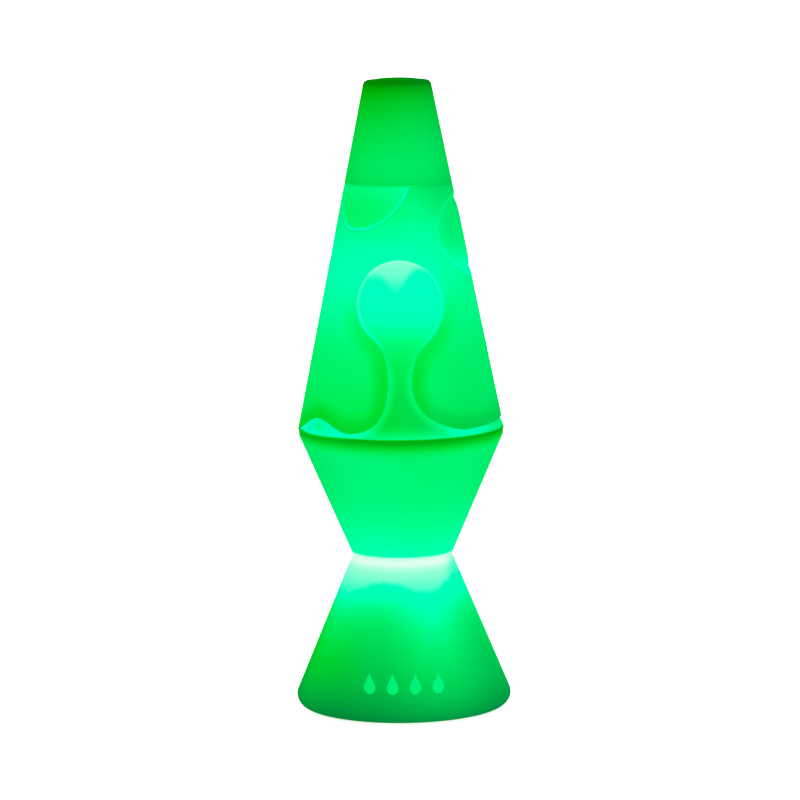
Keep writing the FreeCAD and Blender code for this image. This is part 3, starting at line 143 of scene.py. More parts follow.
# Each outline: facing angle, closed or cut off by the shell's edge, and its points clockwise from outside,
# as shares of the globe's radius across and of its height up.
LAVA = {
    "front_column": (0, False, [
        (-1.10, -0.06), (-1.02, -0.012), (-0.90, 0.048), (-0.81, 0.074), (-0.70, 0.062), (-0.57, 0.033),
        (-0.42, 0.032), (-0.27, 0.06), (-0.165, 0.12), (-0.12, 0.23), (-0.155, 0.335), (-0.28, 0.405),
        (-0.385, 0.465), (-0.422, 0.54), (-0.375, 0.615), (-0.22, 0.69), (0, 0.716), (0.215, 0.69),
        (0.365, 0.63), (0.432, 0.533), (0.385, 0.45), (0.24, 0.374), (0.135, 0.30), (0.112, 0.21),
        (0.18, 0.132), (0.34, 0.075), (0.60, 0.037), (0.80, 0.040), (0.95, 0.048), (1.05, 0.046),
        (1.12, -0.05)]),
    "back_mound": (180, False, [
        (-1.12, -0.05), (-1.05, 0.046), (-0.95, 0.049), (-0.78, 0.072), (-0.56, 0.045), (-0.38, 0.10),
        (-0.28, 0.21), (-0.13, 0.30), (0.06, 0.31), (0.21, 0.225), (0.30, 0.115), (0.47, 0.05),
        (0.68, 0.058), (0.86, 0.036), (0.98, 0.004), (1.08, -0.05)]),
    "front_hanging": (-30, False, [
        (0.35, 1.03), (0.345, 0.985), (0.30, 0.93), (0.19, 0.869), (0.047, 0.835), (-0.13, 0.82),
        (-0.267, 0.828), (-0.375, 0.86), (-0.445, 0.91), (-0.475, 0.98), (-0.475, 1.03)]),
    "back_hanging": (150, False, [
        (0.25, 1.03), (0.22, 0.95), (0.05, 0.885), (-0.15, 0.90), (-0.24, 0.96), (-0.26, 1.03)]),
    "right_drop": (81, True, [
        (0, 0.966), (0.20, 0.94), (0.34, 0.875), (0.41, 0.79), (0.38, 0.715), (0.25, 0.658), (0.05, 0.628),
        (-0.121, 0.634), (-0.28, 0.668), (-0.395, 0.715), (-0.428, 0.775), (-0.405, 0.84), (-0.318, 0.908),
        (-0.17, 0.948)]),
    "left_drop": (-118, True, [
        (0, 0.863), (0.25, 0.82), (0.35, 0.716), (0.25, 0.612), (0, 0.569), (-0.25, 0.612), (-0.35, 0.716),
        (-0.25, 0.82)]),
    "back_drop": (172, True, [
        (0, 0.70), (0.22, 0.66), (0.31, 0.565), (0.22, 0.47), (0, 0.43), (-0.22, 0.47), (-0.31, 0.565),
        (-0.22, 0.66)]),
}

# A drop mark, as shares of its half width and half height.
DROP = [
    (0, 1), (0.37, 0.52), (0.81, 0.04), (1, -0.36), (0.7, -0.8), (0, -1), (-0.7, -0.8), (-1, -0.36),
    (-0.81, 0.04), (-0.37, 0.52)]


def smooth_line(corners, closed, per_span=10):
    """Points along a cubic spline through the corners.

    The parameter is the chord length. The slopes at the corners solve the usual three-term equations,
    which make the second derivative continuous, and each span is then its cubic Hermite curve.
    """
    points = np.array(corners, float)
    if closed:
        points = np.vstack([points, points[:1]])
    chord = np.linalg.norm(np.diff(points, axis=0), axis=1)
    rise = np.diff(points, axis=0) / chord[:, None]
    count = len(points)
    matrix = np.zeros((count, count))
    right = np.zeros((count, 2))
    middle = np.arange(1, count - 1)
    matrix[middle, middle - 1] = chord[1:]
    matrix[middle, middle] = 2 * (chord[:-1] + chord[1:])
    matrix[middle, middle + 1] = chord[:-1]
    right[middle] = 3 * (chord[1:, None] * rise[:-1] + chord[:-1, None] * rise[1:])
    if closed:
        matrix[0, [0, -1]] = 1, -1
        matrix[-1, [0, 1]] = 2 * chord[-1], chord[-1]
        matrix[-1, [-1, -2]] += 2 * chord[0], chord[0]
        right[-1] = 3 * (chord[-1] * rise[0] + chord[0] * rise[-1])
    else:
        matrix[0, [0, 1]] = 2, 1
        matrix[-1, [-1, -2]] = 2, 1
        right[0] = 3 * rise[0]
        right[-1] = 3 * rise[-1]
    slope = np.linalg.solve(matrix, right)
    t = np.linspace(0, 1, per_span, endpoint=False)[None, :, None]
    a, b = points[:-1, None], points[1:, None]
    step = chord[:, None, None]
    curve = (
        (2 * t**3 - 3 * t**2 + 1) * a
        + (t**3 - 2 * t**2 + t) * step * slope[:-1, None]
        + (3 * t**2 - 2 * t**3) * b
        + (t**3 - t**2) * step * slope[1:, None]
    )
    return np.vstack([curve.reshape(-1, 2), points[-1:]])


# ---------------------------------------------------------------- surfaces


def facing_angles(columns, crowd=0.0):
    """Facing angles all the way round. crowd, from 0 to 1, draws the columns together at the front."""
    turn = np.linspace(0, 2 * math.pi, columns, endpoint=False)
    return turn - crowd * np.sin(turn)


def rounded(corners, steps=6):
    """A profile through (radius, height, rounding) corners.

    Each rounded corner is an arc tangent to both its sides: it starts rounding / tan(half the corner's angle)
    before the corner, and turns at an even rate about its centre.
    """
    points = np.array([corner[:2] for corner in corners], float)
    line = []
    for i, (here, corner) in enumerate(zip(points, corners)):
        rounding = corner[2]
        if not rounding:
            line.append(here)
            continue
        before = points[i - 1] - here
        after = points[(i + 1) % len(points)] - here
        before /= np.linalg.norm(before)
        after /= np.linalg.norm(after)
        half = math.acos(np.clip(before @ after, -1, 1)) / 2
        centre = here + (before + after) / np.linalg.norm(before + after) * rounding / math.sin(half)
        start = here + before * rounding / math.tan(half) - centre
        end = here + after * rounding / math.tan(half) - centre
        sweep = math.pi - 2 * half
        share = np.linspace(0, 1, steps)[:, None]
        arc = (np.sin((1 - share) * sweep) * start + np.sin(share * sweep) * end) / math.sin(sweep)
        line.extend(centre + arc)
    return np.array(line)


def filled(profile, step, closed):
    """The profile with points added along its long sides, so that no side is longer than step."""
    ends = np.vstack([profile, profile[:1]]) if closed else profile
    runs = []
    for a, b in zip(ends[:-1], ends[1:]):
        count = max(1, math.ceil(np.linalg.norm(b - a) / step))
        share = np.linspace(0, 1, count, endpoint=False)[:, None]
        runs.append(a + (b - a) * share)
    if not closed:
        runs.append(ends[-1:])
    return np.vstack(runs)


def grid_faces(rows, columns, closed):
    """Quads of a grid that wraps round its columns, and round its rows too where it is closed."""
    i, j = np.meshgrid(np.arange(rows if closed else rows - 1), np.arange(columns), indexing="ij")
    up, on = (i + 1) % rows, (j + 1) % columns
    quads = np.stack([i * columns + j, i * columns + on, up * columns + on, up * columns + j], axis=-1)
    return quads.reshape(-1, 4)


def turned_points(angle, radius, height):
    """Points at a facing angle, radius and height."""
    return np.stack([radius * np.sin(angle), -radius * np.cos(angle), height], axis=-1)


def add_piece(name, points, quads, finish, body, nodes=(), values=None, triangles=()):
    """A smooth mesh from points in millimetres, its material and what it stands for."""
    mesh = bpy.data.meshes.new(name)
    faces = np.array(quads, np.int32).reshape(-1, 4)
    fans = np.array(triangles, np.int32).reshape(-1, 3)
    corners = np.concatenate([faces.ravel(), fans.ravel()])
    sizes = np.concatenate([np.full(len(faces), 4, np.int32), np.full(len(fans), 3, np.int32)])
    starts = np.concatenate([[0], np.cumsum(sizes)[:-1]]).astype(np.int32)
    flat = np.asarray(points, np.float32).reshape(-1, 3) * MM
    mesh.vertices.add(len(flat))
    mesh.vertices.foreach_set("co", flat.ravel())
    mesh.loops.add(len(corners))
    mesh.loops.foreach_set("vertex_index", corners.astype(np.int32))
    mesh.polygons.add(len(sizes))
    mesh.polygons.foreach_set("loop_start", starts)
    mesh.update(calc_edges=True)
    mesh.validate()
    mesh.polygons.foreach_set("use_smooth", np.ones(len(mesh.polygons), bool))
    for key, numbers in (values or {}).items():
        layer = mesh.attributes.new(key, "FLOAT", "POINT")
        layer.data.foreach_set("value", np.asarray(numbers, np.float32).ravel())
    mesh.materials.append(finish)
    piece = bpy.data.objects.new(name, mesh)
    bpy.context.scene.collection.objects.link(piece)
    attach(piece, body)
    if nodes:
        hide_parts(*nodes)
    return piece


def cone_sheet(angle, height, cone, slope):
    """Where points of a cone lie when it is rolled out flat: at their slant distance from the apex, turned by
    the facing angle times the sine of the half angle."""
    sine = slope / math.hypot(1, slope)
    slant = cone(height) / sine
    return np.stack([slant * np.cos(angle * sine), slant * np.sin(angle * sine)], axis=-1)


def from_cone_sheet(flat, cone, slope):
    """Facing angle and height of a point of the rolled-out cone."""
    sine = slope / math.hypot(1, slope)
    slant = np.hypot(flat[..., 0], flat[..., 1])
    angle = np.arctan2(flat[..., 1], flat[..., 0]) / sine
    height = (cone(0.0) - slant * sine) / (cone(0.0) - cone(1.0))
    return angle, height


def inset(angle, height, outline, facing, cone, slope, closed):
    """Distance inside a flat outline that is carried level onto a cone, and the nearest point of it.

    The outline is in level millimetres across and in height. A point is inside if a line from it crosses
    the outline an odd number of times. The distance is measured on the rolled-out cone, to the outline's
    sides that face the same way. Negative is outside.
    """
    turn = (angle - facing + math.pi) % (2 * math.pi) - math.pi
    near = np.flatnonzero(np.abs(turn) < math.pi / 2 + 0.3)
    turn, level = turn[near], height[near]
    across = cone(level) * np.sin(turn)
    ahead = np.abs(turn) <= math.pi / 2
    radius = cone(outline[:, 1])
    share = outline[:, 0] / radius
    drawn = cone_sheet(np.arcsin(np.clip(share, -1, 1)), outline[:, 1], cone, slope)
    hidden = np.abs(share) > 1
    here = cone_sheet(turn, level, cone, slope)
    crossings = np.zeros(len(near), int)
    best = np.full(len(near), 1e9)
    nearest = here.copy()
    count = len(outline) - (1 if closed else 0)
    for k in range(count):
        (x0, z0), (x1, z1) = outline[k], outline[(k + 1) % len(outline)]
        spans = (z0 > level) != (z1 > level)
        if z1 != z0:
            crossings += spans & (across < x0 + (level - z0) * (x1 - x0) / (z1 - z0))
        if k == len(outline) - 1 or (hidden[k] and hidden[(k + 1) % len(outline)]):
            continue
        a, b = drawn[k], drawn[(k + 1) % len(outline)]
        side = b - a
        along = np.clip(((here - a) @ side) / (side @ side), 0, 1)
        foot = a + along[:, None] * side
        distance = np.linalg.norm(here - foot, axis=1)
        closer = distance < best
        best[closer] = distance[closer]
        nearest[closer] = foot[closer]
    inside = (crossings % 2 == 1) & ahead
    signed = np.where(inside, best, -best)
    found = np.full(len(angle), -1e3)
    found[near] = signed
    spot = np.stack([angle, height], axis=-1)
    spot_turn, spot_level = from_cone_sheet(nearest, cone, slope)
    spot[near, 0] = spot_turn - turn + angle[near]
    spot[near, 1] = spot_level
    return found, spot


def crisp(angle, height, insets, spots, edge, foot):
    """Draws grid points onto outlines, so that a step follows them without teeth.

    A point within edge of an outline moves onto it, and one up to foot inside it moves to the middle
    between the two. Both move straight away from or towards the outline's nearest point.
    """
    angle, height, found = angle.copy(), height.copy(), insets.copy()
    middle = (edge + foot) / 2
    on_line = np.abs(insets) < edge
    beside = (insets >= edge) & (insets < foot)
    angle[on_line], height[on_line] = spots[on_line, 0], spots[on_line, 1]
    found[on_line] = 0
    reach = middle / np.maximum(insets, 1e-6)
    angle[beside] = (spots[:, 0] + (angle - spots[:, 0]) * reach)[beside]
    height[beside] = (spots[:, 1] + (height - spots[:, 1]) * reach)[beside]
    found[beside] = middle
    return angle, height, found


# ---------------------------------------------------------------- material wiring


class Wire:
    """A socket of a finish, on which arithmetic adds Math nodes."""

    def __init__(self, finish, socket):
        self.finish = finish
        self.socket = socket

    def __add__(self, other):
        return self.finish.math("ADD", self, other)

    def __sub__(self, other):
        return self.finish.math("SUBTRACT", self, other)

    def __rsub__(self, other):
        return self.finish.math("SUBTRACT", other, self)

    def __mul__(self, other):
        return self.finish.math("MULTIPLY", self, other)

    def __truediv__(self, other):
        return self.finish.math("DIVIDE", self, other)

    __radd__ = __add__
    __rmul__ = __mul__


class Finish:
    """A material under construction. Every node but the shader comes from node()."""

    def __init__(self, name, **constants):
        self.material = bpy.data.materials.new(name)
        self.material.use_nodes = True
        self.tree = self.material.node_tree
        self.shader = self.tree.nodes["Principled BSDF"]
        for label, value in constants.items():
            self.shader.inputs[label.replace("_", " ")].default_value = value
        self.place = self.node("ShaderNodeTexCoord", out="Object")
        cut = self.node("ShaderNodeSeparateXYZ", {0: self.place}, out=None)
        self.x, self.y, self.z = (Wire(self, cut.outputs[i]) * 1000 for i in range(3))

    def node(self, kind, inputs=None, out=0, stops=None, **settings):
        """A node: its settings are made first, then its inputs, values or wires by socket name or index."""
        made = self.tree.nodes.new(kind)
        for setting, value in settings.items():
            setattr(made, setting, value)
        if stops:
            ramp = made.color_ramp
            while len(ramp.elements) < len(stops):
                ramp.elements.new(0.5)
            for element, (position, colour) in zip(ramp.elements, stops):
                element.position = position
                element.color = (*colour, 1)
        for key, value in (inputs or {}).items():
            if isinstance(value, Wire):
                self.tree.links.new(value.socket, made.inputs[key])
            else:
                made.inputs[key].default_value = value
        return made if out is None else Wire(self, made.outputs[out])

    def math(self, operation, *values):
        return self.node("ShaderNodeMath", dict(enumerate(values)), operation=operation)

    def smooth(self, value, low, high):
        """0 up to low, 1 from high on, and an S-curve between them."""
        sockets = {"Value": value, "From Min": low, "From Max": high}
        return self.node("ShaderNodeMapRange", sockets, interpolation_type="SMOOTHSTEP")

    def mix(self, share, first, second):
        sockets = {0: share, 6: first, 7: second}
        return self.node("ShaderNodeMix", sockets, out=2, data_type="RGBA")

    def along(self, value, stops, interpolation="CARDINAL"):
        """A number that runs through (position, level) stops. Half the level is kept in the ramp's grey."""
        low, high = stops[0][0], stops[-1][0]
        greys = [((position - low) / (high - low), (level / 2,) * 3) for position, level in stops]
        sockets = {0: (value - low) / (high - low)}
        made = self.node("ShaderNodeValToRGB", sockets, out=None, stops=greys)
        made.color_ramp.interpolation = interpolation
        return Wire(self, made.outputs[0]) * 2

    def noise(self, scale, detail=2.0, place=None):
        sockets = {"Vector": place or self.place, "Scale": scale, "Detail": detail}
        return self.node("ShaderNodeTexNoise", sockets)

    def stored(self, key):
        """A value kept on the mesh's points."""
        return self.node("ShaderNodeAttribute", out="Fac", attribute_name=key)

    def bumps(self, height, distance, strength=1.0):
        sockets = {"Strength": strength, "Distance": distance, "Height": height}
        self.into("Normal", self.node("ShaderNodeBump", sockets))

    def into(self, label, wire):
        self.tree.links.new(wire.socket, self.shader.inputs[label])


def seen(red, green, blue):
    """A screen colour from 0 to 255 as linear light."""
    shares = (red / 255, green / 255, blue / 255)
    return tuple(c / 12.92 if c <= 0.04045 else ((c + 0.055) / 1.055) ** 2.4 for c in shares)


# ---------------------------------------------------------------- the glow

# Light through the shells by level: deep green where little comes through, cyan and near white over the LEDs.
HOT_GLOW = [
    (1.06, (0, 254, 190)), (1.14, (56, 254, 196)), (1.24, (118, 254, 206)), (1.34, (170, 254, 216)),
    (1.45, (206, 255, 232)), (1.6, (232, 255, 244))]
WARM_GLOW = [
    (0.45, (0, 114, 0)), (0.52, (0, 132, 1)), (0.60, (0, 153, 2)), (0.70, (0, 178, 8)), (0.80, (0, 204, 30)),
    (0.87, (0, 222, 56)), (0.92, (0, 235, 86)), (0.96, (0, 245, 120)), (0.985, (0, 251, 155)),
    (1.0, (0, 253, 172))] + HOT_GLOW
COOL_GLOW = [
    (0.45, (0, 114, 62)), (0.52, (0, 132, 66)), (0.60, (0, 153, 70)), (0.70, (0, 178, 76)),
    (0.80, (0, 204, 88)), (0.87, (0, 222, 100)), (0.92, (0, 235, 114)), (0.96, (0, 245, 140)),
    (0.985, (0, 251, 163)), (1.0, (0, 253, 176))] + HOT_GLOW
GLOW_SHARE = 0.66
BODY_SHARE = 0.24


def glow_finish(name, level_of):
    """A moulded translucent shell lit from inside. level_of gives its light level and how cool it is."""
    finish = Finish(name, Specular_IOR_Level=0.0, Emission_Strength=GLOW_SHARE)
    level, cool = level_of(finish)
    level = level + (finish.noise(45.0) - 0.5) * 0.008
    low, high = WARM_GLOW[0][0], WARM_GLOW[-1][0]
    share = {0: (level - low) / (high - low)}
    warm, chill = (
        finish.node("ShaderNodeValToRGB", share, stops=[
            ((place - low) / (high - low), seen(*screen)) for place, screen in glow])
        for glow in (WARM_GLOW, COOL_GLOW)
    )
    colour = finish.mix(finish.smooth(cool, 0.0, 1.0), warm, chill)
    finish.into("Emission Color", colour)
    # the base colour is the glow's colour turned down, so the glow's painted light and shade are in the body
    # colour too
    shade = finish.node("ShaderNodeVectorMath", {0: colour, "Scale": BODY_SHARE}, operation="SCALE")
    finish.into("Base Color", shade)
    grain = finish.noise(2600.0, 3.0)
    finish.into("Roughness", 0.38 + grain * 0.12)
    finish.bumps(grain, 0.00003, 0.6)
    return finish.material


def facing(finish):
    """The facing angle of a point, in degrees."""
    return finish.math("ARCTAN2", finish.x, 0 - finish.y) * math.degrees(1)


def lobes(finish, count, first):
    """1 in front of each LED of a ring, -1 between them."""
    return finish.math("COSINE", (facing(finish) - first) * math.radians(count))


def side_light(finish):
    """0 on the -X side and 1 on the +X side, where the light is a little cooler."""
    return 0.5 + finish.math("SINE", facing(finish) * math.radians(1)) * 0.5


def base_level(finish):
    """Near white round the LED drum, greener downwards in petals, one before each LED, dark at the foot."""
    petal = lobes(finish, 4, LED_TURN)
    ripple = (finish.noise(140.0, 3.0) - 0.5) * 4.5
    height = finish.z
    body = finish.along(height, [
        (0, 0.54), (3, 0.58), (6, 0.635), (10, 0.70), (14, 0.748), (18, 0.785), (26, 0.838), (34, 0.885),
        (42, 0.935), (50, 0.985), (56, 1.02), (62, 1.04), (70, 1.04)])
    swing = finish.along(height, [
        (0, 0.02), (8, 0.04), (18, 0.045), (34, 0.05), (44, 0.035), (54, 0.01), (70, 0.0)])
    hot = finish.along(height, [
        (50, 0.02), (54, 0.08), (57, 0.13), (60, 0.185), (62, 0.225), (64, 0.25), (66, 0.35),
        (67.6, 0.485), (70, 0.45)])
    edge = 56.9 - petal * 2.6 + ripple + finish.x * 0.07
    hot = hot * finish.smooth(height - edge, -1.2, 2.2)
    # painted shade: the hot band is fainter towards the +X side
    hot = hot * (1 - finish.smooth(finish.x, 17.5, 23.0) * 0.55)
    marked = finish.smooth(finish.stored("mark"), -0.1, 0.35)
    # painted shade: lower down, the -X side is darker and, in the middle heights, a little less cool
    painted_flank_shading = finish.smooth(0 - finish.x, 12.0, 38.0) * finish.smooth(height, 56.0, 40.0)
    level = body + petal * swing + hot - painted_flank_shading * 0.055
    level = level + marked * (0.955 - level) * 0.85
    cool = 0.62 + side_light(finish) * 0.3 - finish.smooth(height, 0.0, 12.0) * 0.08
    cool = cool - painted_flank_shading * finish.smooth(height, 8.0, 26.0) * 0.35
    return level, cool + marked * 0.2


def cup_level(finish):
    """Shadowed below the lip, even down the cone and brightest at the waist."""
    height = finish.z
    body = finish.along(height, [
        (69, 0.998), (73, 0.99), (77, 0.98), (87, 0.955), (96, 0.932), (106, 0.925), (113, 0.922),
        (117, 0.915), (119.5, 0.895), (121.5, 0.845), (123, 0.775), (124.2, 0.70), (126, 0.665)])
    body = body + finish.smooth(height, WAIST + 2.1, WAIST + 0.6) * 0.42
    front = finish.math("COSINE", facing(finish) * math.radians(2))
    # painted shadow below the lip, lighter towards the -X and +X sides
    lip = finish.smooth(height, 113.0, 124.0)
    level = body + lip * (0.045 - front * 0.045) + (lobes(finish, 4, LED_TURN + 45) * 0.004)
    # painted shade: darker towards the -X and +X sides
    level = level - finish.smooth(finish.math("ABSOLUTE", finish.x), 24.0, 44.0) * 0.035
    return level, 0.2 + finish.smooth(123.5 - height, 0.0, 8.0) * 0.6


def globe_level(finish):
    """Brightest round the upper LEDs, with the lava's thick middles and thin edges, and shade by its stem."""
    height = finish.z
    depth = finish.stored("lava")
    side = side_light(finish)
    side = side + (side - 0.5) * finish.smooth(height, 205.0, 222.0) * 0.9
    clear = finish.along(height, [
        (125, 0.87), (130, 0.895), (135, 0.908), (143, 0.922), (151, 0.933), (160, 0.944), (168, 0.959),
        (176, 0.976), (184, 0.988), (192, 0.998), (203, 0.998), (211, 0.985), (220, 0.966), (227, 0.945),
        (231, 0.925), (234.5, 0.90)])
    # painted shade: the +X side of the clear shell is darker, most of all near the top
    clear = clear - finish.smooth(finish.x, 4.0, 20.0) * finish.smooth(height, 214.0, 232.0) * 0.045
    clear = clear - finish.smooth(finish.x, 6.0, 30.0) * 0.03
    shadow = finish.along(height, [
        (125, 0.05), (132, 0.075), (150, 0.078), (162, 0.06), (176, 0.028), (190, 0.0), (236, 0.0)])
    clear = clear - shadow * finish.smooth(depth, -10.0, -0.5)
    thick = finish.along(height, [
        (125, 0.96), (127.5, 0.945), (130, 0.885), (134, 0.84), (140, 0.846), (146, 0.86), (152, 0.882),
        (160, 0.918), (168, 0.957), (176, 0.998), (184, 1.038), (192, 1.05), (200, 1.02), (208, 0.975),
        (216, 0.945), (226, 0.94), (235, 0.965)])
    rim = finish.along(height, [
        (125, 0.03), (128, 0.08), (134, 0.105), (150, 0.085), (160, 0.035), (170, 0.0), (205, 0.012),
        (235, 0.02)])
    thick = thick + rim * finish.smooth(4.5 - depth, 0.0, 4.5)
    # painted highlight: a thin bright line just inside the lava's outlines on the head, stronger on the -X
    # side
    lens = finish.smooth(depth, 0.1, 0.7) * finish.smooth(2.0 - depth, 0.0, 1.2)
    lens = lens * (0.05 + finish.smooth(0 - finish.x, 6.0, 18.0) * 0.06)
    thick = thick + lens * finish.smooth(height, 160.0, 172.0)
    # painted light and shade by side: the lava is darker on the +X side at 136-150 mm; low down it is lighter
    # on the -X side, and on the +X side lighter, then darker further out
    thick = thick - finish.smooth(finish.x, 12.0, 24.0) * finish.smooth(height, 136.0, 150.0) * 0.035
    wave = finish.smooth(height, 142.0, 133.0)
    thick = thick + finish.smooth(0 - finish.x, 16.0, 32.0) * wave * 0.075
    painted_flank_shading = finish.smooth(finish.x, 16.0, 26.0) - finish.smooth(finish.x, 28.0, 42.0) * 2
    thick = thick + painted_flank_shading * wave * 0.03
    # painted light: the upper LEDs' hot patch, on the lava only
    hot_patch = crescent(finish) * finish.smooth(depth, 0.0, 0.8)
    level = clear + (thick + hot_patch - clear) * finish.smooth(depth, -0.25, 0.25)
    # painted shadow: a dark line along the globe's lowest millimetre, over the cup's lip, and there less cool
    level = level - finish.smooth(height, RIM + 1.35, RIM + 0.6) * 0.28
    cool = side * 1.3 - 0.3 + finish.smooth(depth, 0.5, 3.0) * 0.35
    stem = finish.smooth(16.0 - finish.math("ABSOLUTE", finish.x), 0.0, 8.0)
    stem = stem * finish.smooth(height, 186.0, 168.0)
    ends = finish.smooth(finish.x, 12.0, 30.0) * finish.smooth(height, 205.0, 190.0) * 0.25
    neck = finish.smooth(26.0 - finish.math("ABSOLUTE", finish.x), 0.0, 10.0)
    neck = neck * finish.smooth(height, 190.0, 174.0) * finish.smooth(height, 148.0, 162.0)
    return level, cool - stem * 0.32 - ends - neck * 0.4 - finish.smooth(height, RIM + 1.35, RIM + 0.6)


def crescent(finish):
    """The upper LEDs' hot patch on the head of the front column: a cap whose lower edge dips to a point."""
    dip = 8.0 - finish.math("SQRT", (finish.x + 1.6) * (finish.x + 1.6) + 3.0) * 1.25
    dip = finish.math("SMOOTH_MAX", dip, 0.0, 3.0)
    edge = 195.9 - dip + finish.smooth(finish.x, 1.0, 9.0) * 3.2
    across = finish.smooth(21.0 - finish.math("ABSOLUTE", finish.x), 0.0, 5.0)
    front = finish.smooth(0 - finish.y, 5.0, 15.0) * finish.smooth(207.0 - finish.z, 0.0, 1.0)
    rise = 0.07 + finish.smooth(finish.z, 189.0, 202.0) * 0.16
    return rise * finish.smooth(finish.z - edge, -2.6, 2.8) * across * front


def cap_level(finish):
    """Darker towards the top, with a soft shadow where it overhangs the globe."""
    height = finish.z
    body = finish.along(height, [
        (234, 0.84), (236, 0.865), (239, 0.882), (244.5, 0.887), (249, 0.876), (253.5, 0.861),
        (262.5, 0.82), (267, 0.788), (271.5, 0.745), (275, 0.688), (277, 0.622), (278.6, 0.535),
        (279.3, 0.54), (280.1, 0.57)])
    # painted shade: darker towards the -X and +X sides, and more on the +X side
    body = body - finish.smooth(finish.math("ABSOLUTE", finish.x), 13.0, 24.0) * 0.025
    body = body - finish.smooth(finish.x, 6.0, 24.0) * 0.035
    # painted light: the cap's lowest millimetre is lighter, except towards the +X side
    seam = finish.smooth(height, SEAM + 1.1, SEAM + 0.4) * finish.smooth(14.0 - finish.x, 0.0, 8.0)
    body = body + seam * 0.075
    cool = finish.along(height, [
        (234, 0.62), (245, 0.6), (254, 0.52), (263, 0.4), (272, 0.22), (277, 0.1), (280, 0.1)])
    return body, cool + (side_light(finish) - 0.5) * 0.3


# ---------------------------------------------------------------- the four shells


